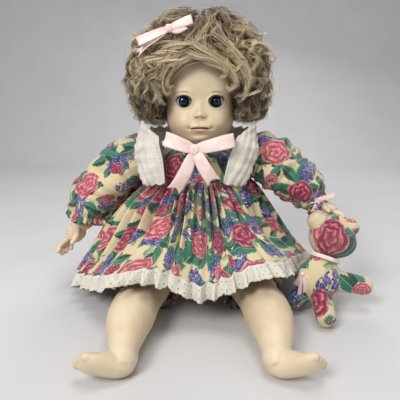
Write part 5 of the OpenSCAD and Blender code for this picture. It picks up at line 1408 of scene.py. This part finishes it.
v, u = polar(70, 140)
d = np.stack([np.sin(v) * np.sin(u), -np.sin(v) * np.cos(u), np.cos(v)], -1)
lumps = 0.80 + 0.022 * np.sin(9 * u + 3 * np.sin(4 * v)) * np.sin(7 * v + 2 * np.sin(3 * u))
lumps = lumps + 0.015 * np.sin(17 * u + 5 * v)
table = WIG + d * wig_radius(d, lumps)[..., None]
table[..., 2] = np.maximum(table[..., 2], 240 + 3 * np.sin(5 * u))
face_gap = np.clip((hairline(table[..., 0]) + 8 - table[..., 2]) / 14, 0, 1)
front_y = -26.0 * face_gap - 62.0 * (1 - face_gap)
table[..., 1] = np.maximum(table[..., 1], front_y)
points, faces = capped(table)
# painted shade: the whole cap takes the darkest fibre tone
uv = np.full((sum(f.size for f in faces), 2), 0.12)
HAIR = {"material": hair_finish.material, "slot": "hair_fibre"}
cap = build("hair_cap_shade", points, faces, "head", uv=uv, **HAIR)
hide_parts("hair")
print("hair cap faces:", len(cap.data.polygons))

# %% [markdown]
# Locks are grown in families, from crown to temples, because each part of the wig has its own length,
# curl and tone, and its own strength of painted highlight. A family is one mesh of thin three-sided
# tubes, which shows real strands at the edge of the wig and still renders quickly. Fibres that would
# lie over the face are left out.

# %% Locks


def in_window(p):
    """Places where hair would lie over the face."""
    return (np.abs(p[..., 0] + 2) < 42) & (p[..., 1] < -12) & (p[..., 2] < hairline(p[..., 0]) - 6)


def lock_paths(start, count, length, curl, turns, spread, seed, sweep):
    """Paths (locks * count, steps, 3): every lock runs down the wig as a ringlet.

    The middle of a lock follows the wig; its fibres stand off it by r (cos f, sin f) across and out
    of the wig, where r grows along the lock and f winds through the lock's own number of turns.
    The second result says how far out of the wig each point stands, from -1 to 1.
    """
    r = np.random.default_rng(seed)
    n, steps = len(start), 17
    share = np.linalg.norm(start - WIG, axis=1) / wig_radius(unit(start - WIG))
    x, y, z = start.T
    heading = sweep + 0.35 * np.sin(x / 21 + 2 * np.sin(z / 30)) + r.normal(0, 0.22, n)
    bend = z / 16 + 1.5 * np.sin(x / 28 + y / 25) + r.normal(0, 0.5, n)
    phase = r.uniform(0, 6.3, n)
    long = length * r.uniform(0.75, 1.2, n)
    lift = r.uniform(0.0, 0.06, n)
    p, middle, across, out = start, [], [], []
    for k in range(steps):
        t = k / (steps - 1)
        p = on_wig(p, share * (1 + lift * math.sin(math.pi * t)))
        n_out = unit(p - WIG)
        down = unit(np.array([0, 0, -1.0]) + n_out[:, 2:] * n_out)
        side = np.cross(n_out, down)
        middle.append(p), across.append(side), out.append(n_out)
        angle = heading + 0.5 * np.sin(5.0 * t + bend)
        push = np.clip((hairline(p[:, 0]) + 14 - p[:, 2]) / 14, 0, 1)
        push = push * (np.abs(p[:, 0]) < 50) * (p[:, 1] < -10)
        step = np.cos(angle)[:, None] * down + np.sin(angle)[:, None] * side
        step += push[:, None] * np.stack([1.6 * np.sign(p[:, 0] + 6), 0.5 * np.ones(n), 0 * p[:, 0]], -1)
        p = p + unit(step) * (long / (steps - 1))[:, None]
    middle, across, out = (np.repeat(np.stack(a, 1), count, axis=0) for a in (middle, across, out))
    every = n * count
    t = np.linspace(0, 1, steps) * r.uniform(0.80, 1.0, (every, 1))
    at = t * (steps - 1)
    low = np.minimum(at.astype(int), steps - 2)
    rest = (at - low)[..., None]
    row = np.arange(every)[:, None]
    middle, across, out = (a[row, low] * (1 - rest) + a[row, low + 1] * rest for a in (middle, across, out))
    wind = np.repeat(np.where(r.random(n) < 0.5, -1, 1) * r.uniform(*turns, n), count)[:, None]
    radius = np.repeat(r.uniform(*curl, n), count)[:, None] * r.uniform(0.88, 1.10, (every, 1))
    radius = radius * (0.2 + 0.8 * np.clip(t / 0.65, 0, 1) ** 1.5)
    turn = np.repeat(phase, count)[:, None] + r.normal(0, 0.10, (every, 1)) + 2 * np.pi * wind * t ** 1.2
    frizz = 0.7 * np.sin(t * r.uniform(9, 22, (2, every, 1)) + r.uniform(0, 6.3, (2, every, 1)))
    own = r.normal(0, spread, (2, every, 1)) * (1 - 0.35 * t) + frizz
    a = radius * np.cos(turn) + own[0]
    b = 0.75 * radius * np.sin(turn) + own[1]
    return middle + a[..., None] * across + b[..., None] * out, b / np.abs(b).max(1, keepdims=True)


def scatter(n, azimuth, height, share, seed):
    """Starts on the wig: azimuth from the front in degrees, height above its middle and depth as shares."""
    r = np.random.default_rng(seed)
    a = np.radians(r.uniform(*azimuth, n)) * np.where(r.random(n) < 0.5, -1, 1)
    h = r.uniform(*height, n)
    d = np.stack([np.sin(a) * np.sqrt(1 - h**2), -np.cos(a) * np.sqrt(1 - h**2), h], -1)
    return WIG + d * (wig_radius(d) * r.uniform(*share, n))[:, None]


def beside_face(n, seed):
    """Starts in front of the ears, from the temple down to the jaw."""
    r = np.random.default_rng(seed)
    x = np.where(r.random(n) < 0.5, -1, 1) * r.uniform(43, 72, n)
    return np.stack([x - 2, r.uniform(-50, -30, n), r.uniform(252, 322, n)], -1)


def tones(start, count, seed, painted_highlight=0.0):
    """Tone of each fibre: random, with a painted highlight that makes it pale outside and at the front of the
    crown, and painted shade that makes it dark in the depth of the wig.
    """
    r = np.random.default_rng(seed)
    d = unit(start - WIG)
    depth = np.linalg.norm(start - WIG, axis=1) / wig_radius(d) - 0.93
    # painted light: paler towards the front of the crown and the outside of the wig, darker in its depth, and
    # raised by the family's painted highlight
    base = 0.31 + 0.42 * np.clip(-d[:, 1], 0, 1) * np.clip(0.4 + d[:, 2], 0, 1) + 1.6 * depth + painted_highlight
    lock = base + r.normal(0, 0.11, len(start)) + 0.28 * (r.random(len(start)) < 0.16)
    return np.clip(np.repeat(lock, count) + r.normal(0, 0.15, len(start) * count), 0.03, 0.98)


def fibres(word, path, radius, tone, way):
    """Piece of hairs whose UV holds the tone of each point (count, steps) and the way along (steps)."""
    points, faces = hairs(path, radius)
    corner = np.arange(len(way) - 1)[:, None, None] + np.array([0, 0, 1, 1])
    along = np.broadcast_to(way[corner], (len(way) - 1, 3, 4))
    uv = np.stack(np.broadcast_arrays(tone[:, corner], along[None]), -1)
    build(f"hair_{word}", points, faces, "head", uv=uv, **HAIR)


# each family: starts, fibres to a lock, length, radius of its curls, their turns, spread, painted highlight
families = {
    "crown": (scatter(112, (0, 180), (0.42, 0.95), (0.88, 0.97), 1), 17, 62, (5, 10), (1, 1.8), 2.2, 0.04),
    "top": (scatter(46, (0, 180), (0.86, 1), (0.90, 0.97), 6), 19, 62, (5, 9), (0.9, 1.6), 2.4, 0.06),
    "back": (scatter(100, (95, 180), (-0.45, 0.55), (0.88, 0.96), 2), 14, 60, (5, 10), (1, 1.8), 2.4, 0),
    "sides": (scatter(112, (38, 112), (-0.3, 0.55), (0.86, 0.97), 3), 16, 54, (5, 10), (1, 1.8), 2.2, 0.02),
    "temples": (beside_face(90, 4), 16, 42, (4, 7), (0.9, 1.6), 1.8, 0.16),
    "fringe": (scatter(98, (0, 58), (0.36, 0.80), (0.88, 0.98), 5), 18, 56, (6, 11), (0.9, 1.5), 2.0, 0.26),
    "loose": (scatter(200, (0, 180), (-0.4, 1.0), (0.97, 1.03), 7), 1, 62, (7, 12), (0.9, 1.6), 2.0, 0.14),
}
total = 0
for index, (word, family) in enumerate(families.items()):
    start, count, length, curl, turns, spread, painted_highlight = family
    r = np.random.default_rng(50 + index)
    sweep = 0.9 * np.sign(start[:, 0] + 6) * (np.abs(start[:, 0] + 6) > 6) if word == "fringe" else 0.0
    path, stand = lock_paths(start, count, length, curl, turns, spread, 90 + index, sweep=sweep)
    tone = tones(start, count, 70 + index, painted_highlight)
    path[..., 2] = np.maximum(path[..., 2], 233 + 9 * r.random((len(path), 1)))
    keep = ~in_window(path).any(1)
    # painted light: fibres are brighter where they stand out of the wig and darker where they lie in it
    path, tone = path[keep], np.clip(tone[:, None] + 0.20 * stand, 0.02, 0.98)[keep]
    fibres(word, path, r.uniform(0.24, 0.44, len(path)) * (0.5 if word == "loose" else 1.0), tone,
           np.linspace(0, 1, path.shape[1]))
    total += len(path)
print("hair fibres:", total)

# %% [markdown]
# Forelocks are a few curls that sweep over the forehead, pale partly by the fibre's own gold and
# partly by a painted highlight. They are what one notices first, so each is laid one by one as a
# spline through (x, z) that stands a given way off the face.

# %% Forelocks
forelocks = [
    [[-16, 336, 10], [4, 322, 21], [24, 312, 23], [40, 299, 21], [45, 285, 18], [37, 278, 16],
     [31, 284, 15]],
    [[10, 328, 10], [24, 313, 20], [37, 300, 20], [43, 288, 18], [38, 278, 16]],
    [[-24, 328, 10], [-6, 317, 21], [12, 313, 22], [28, 305, 21], [32, 295, 17], [25, 293, 15]],
    [[-14, 324, 10], [-28, 316, 21], [-41, 301, 21], [-46, 286, 18], [-42, 273, 16], [-36, 276, 15]],
    [[-2, 318, 10], [-18, 312, 20], [-30, 303, 19], [-40, 290, 17], [-39, 281, 15], [-33, 283, 14]],
    [[-32, 330, 10], [-43, 313, 20], [-50, 297, 19], [-53, 280, 16], [-48, 264, 15], [-43, 262, 14]],
    [[26, 332, 10], [39, 320, 20], [52, 304, 19], [58, 286, 16], [54, 270, 15], [48, 265, 14]],
    [[14, 344, 8], [31, 332, 18], [47, 317, 20], [59, 302, 18], [61, 287, 16], [55, 280, 15]]]
r = np.random.default_rng(8)
path = []
for form in forelocks:
    x, z, off = spline(np.array(form, float), 20).T
    middle = np.stack([x, np.minimum(front(np.clip(x, -40, 40), np.clip(z, 200, 312)), -44.0) - off, z], -1)
    path.append(middle + r.normal(0, 2.3, (40, 1, 3)) * (1 - 0.5 * np.linspace(0, 1, 20))[:, None])
path = np.concatenate(path)
radius = r.uniform(0.18, 0.32, len(path))
# painted highlight: the forelocks take pale tones, and their fibres start 0.6 of the way along, so they get
# little of the painted shade at the root
tone = np.clip(r.normal(0.82, 0.20, len(path)), 0.3, 0.98)
fibres("forelocks", path, radius, np.tile(tone[:, None], 20), np.linspace(0.6, 1, 20))
print("forelocks:", len(forelocks))

# %% [markdown]
# The bear is cut from the same chintz and stuffed. Head, body and limbs are balls and capsules of
# cloth with a seam down the middle, and the stuffing pulls small puckers along each seam.

# %% Bear
BODY_AT = np.array([154.0, -90, 40])
HEAD_AT = BODY_AT + np.array([19.0, 19, 52])


def stuffed(name, rings, seams, nodes, turn_uv):
    """Closed padded piece over rings, with two seam lines pressed in and puckers beside them."""
    m, n = rings.shape[:2]
    mid = rings.mean(1, keepdims=True)
    a = angles(n)[None]
    t = np.linspace(0, 1, m)[:, None]
    off = [np.arctan2(np.sin(a - s), np.cos(a - s)) for s in seams]
    groove, beside = (sum(np.exp(-(q / wide) ** 2) for q in off) for wide in (0.07, 0.3))
    pucker = 0.016 * beside * np.sin(70 * t + 2 * np.sin(9 * t))
    pucker = pucker + 0.012 * np.sin(3 * a + 9 * t) * np.sin(11 * t)
    table = mid + (rings - mid) * (1 - 0.055 * groove + pucker)[..., None]
    points, faces = capped(table)
    along = np.concatenate([[0], np.cumsum(np.linalg.norm(np.diff(table.mean(1), axis=0), axis=1))])
    along = np.maximum.accumulate(np.maximum(along, np.linspace(0, 1, m) * along[-1]))
    around = np.concatenate([[0], np.cumsum(along_rows(table).max(0))])
    uv = np.stack(np.meshgrid(around, along), -1) * MM * 0.86 + turn_uv
    first = np.stack([uv[0].mean(0) + np.zeros((n, 2)), uv[0, 1:], uv[0, :-1]], 1)
    last = np.stack([uv[-1].mean(0) + np.zeros((n, 2)), uv[-1, :-1], uv[-1, 1:]], 1)
    obj = build(name, points, faces, "left_arm", uv=[uv_corners(uv), np.concatenate([first, last])],
                material=bear_finish.material, slot="floral_cotton")
    if nodes:
        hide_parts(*nodes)


def pillow(at, size, axis, up, shape=2.0):
    """Rings of an ellipsoid round `at`, with its poles along `axis`."""
    axis = unit(np.asarray(axis, float))
    up = np.asarray(up, float)
    up = unit(up - (up @ axis) * axis)
    side = np.cross(up, axis)
    v, a = polar(74, 96)
    r = np.sin(v) ** (2 / shape)
    return (np.asarray(at, float) - size[2] * np.cos(v)[..., None] * axis
            + (size[0] * r * np.cos(a))[..., None] * side + (size[1] * r * np.sin(a))[..., None] * up)


def limb(a, b, r0, r1):
    """Rings of a stuffed limb from a to b with a round paw at b."""
    a, b = np.asarray(a, float), np.asarray(b, float)
    d = unit(b - a)
    t = np.array([0, 0.2, 0.45, 0.7, 0.86])
    stations = [[*(a + (b - a) * k), r0 + (r1 - r0) * k, r0 + (r1 - r0) * k] for k in t]
    for k, s in ((0.93, 0.97), (1.0, 0.86), (1.05, 0.66), (1.085, 0.36), (1.095, 0.1)):
        stations.append([*(a + (b - a) * k), r1 * s, r1 * s])
    return tube(stations, (0, 0, 1), 60, 56)


from_neck = unit(HEAD_AT - BODY_AT)
head_rings = pillow(HEAD_AT, (30, 28.5, 29), from_neck, (0.5, -0.85, -0.2))
snout = HEAD_AT + np.array([12.0, -18, -4])
pull = np.exp(-np.maximum(np.linalg.norm(head_rings - snout, axis=2) - 6, 0) ** 2 / 160)
head_rings = head_rings + pull[..., None] * 6.5 * unit(np.array([0.5, -0.8, -0.25]))
stuffed("bear_head_padded", head_rings, (0.0, np.pi), ["bear_head"], np.array([0.083, 0.135]))
for index, at in enumerate(([1.02, -0.06, 0.57], [-0.88, 0.04, 0.88])):
    at = 29 * np.array(at)
    ear = limb(HEAD_AT + 0.56 * at, HEAD_AT + 1.06 * at, 15.5, 8.8)
    stuffed(f"bear_ear_padded_{index}", ear, (0.0, np.pi), ["bear_ears"] if index == 0 else [],
            0.31 + 0.2 * index)
stuffed("bear_body_padded", pillow(BODY_AT, (29, 27, 31), from_neck, (0, -1, 0.2), shape=2.2),
        (np.pi / 2, -np.pi / 2), ["bear_body"], 0.17)
arms = [limb(BODY_AT + np.array([12, -4, 2]), BODY_AT + np.array([62, -12, -5]), 14, 11.5),
        limb(BODY_AT + np.array([4, 10, -2]), BODY_AT + np.array([14, 47, 0]), 13, 10.5)]
legs = [limb(BODY_AT + np.array([-1, -12, -8]), BODY_AT + np.array([-4, -57, -27]), 13.5, 11.8),
        limb(BODY_AT + np.array([-8, -4, -8]), BODY_AT + np.array([-36, -14, -27]), 13.5, 11.8)]
for word, pair, seam, shift, step in (("arm", arms, 0.4, 0.41, 0.13), ("leg", legs, 0.2, 0.61, 0.17)):
    for index, rings in enumerate(pair):
        stuffed(f"bear_{word}_padded_{index}", rings, (seam, seam + np.pi),
                [f"bear_{word}s"] if index == 0 else [], shift + step * index)
print("bear stuffed")

# %% [markdown]
# The bear wears a satin band round its neck and a small bow beside its body, from the same ribbon
# as the doll's own.

# %% Bear ribbons
satin_band("bear_neck_band", BODY_AT + 29 * from_neck, from_neck, [0, 1, -0.1], radius=20.5, half=2.6,
           stations=96, rows=5, nodes=["bear_ribbons"])
bow("bear_bow_satin", BODY_AT + np.array([-25.0, -16, 14]),
    [loop(17, 5, 62, -1), loop(15, 5, 30, 1)],
    [([[0, 0, 0], [-2, -3, -12], [-3, -3, -30]], LEVEL), ([[0, 0, 0], [3, -4, -10], [4, -4, -24]], LEVEL)],
    width=5.5, body="left_arm", knot=(3.0, 3.0, 3.2), hangs=["bear_body_padded"])
print("bear ribbons tied")
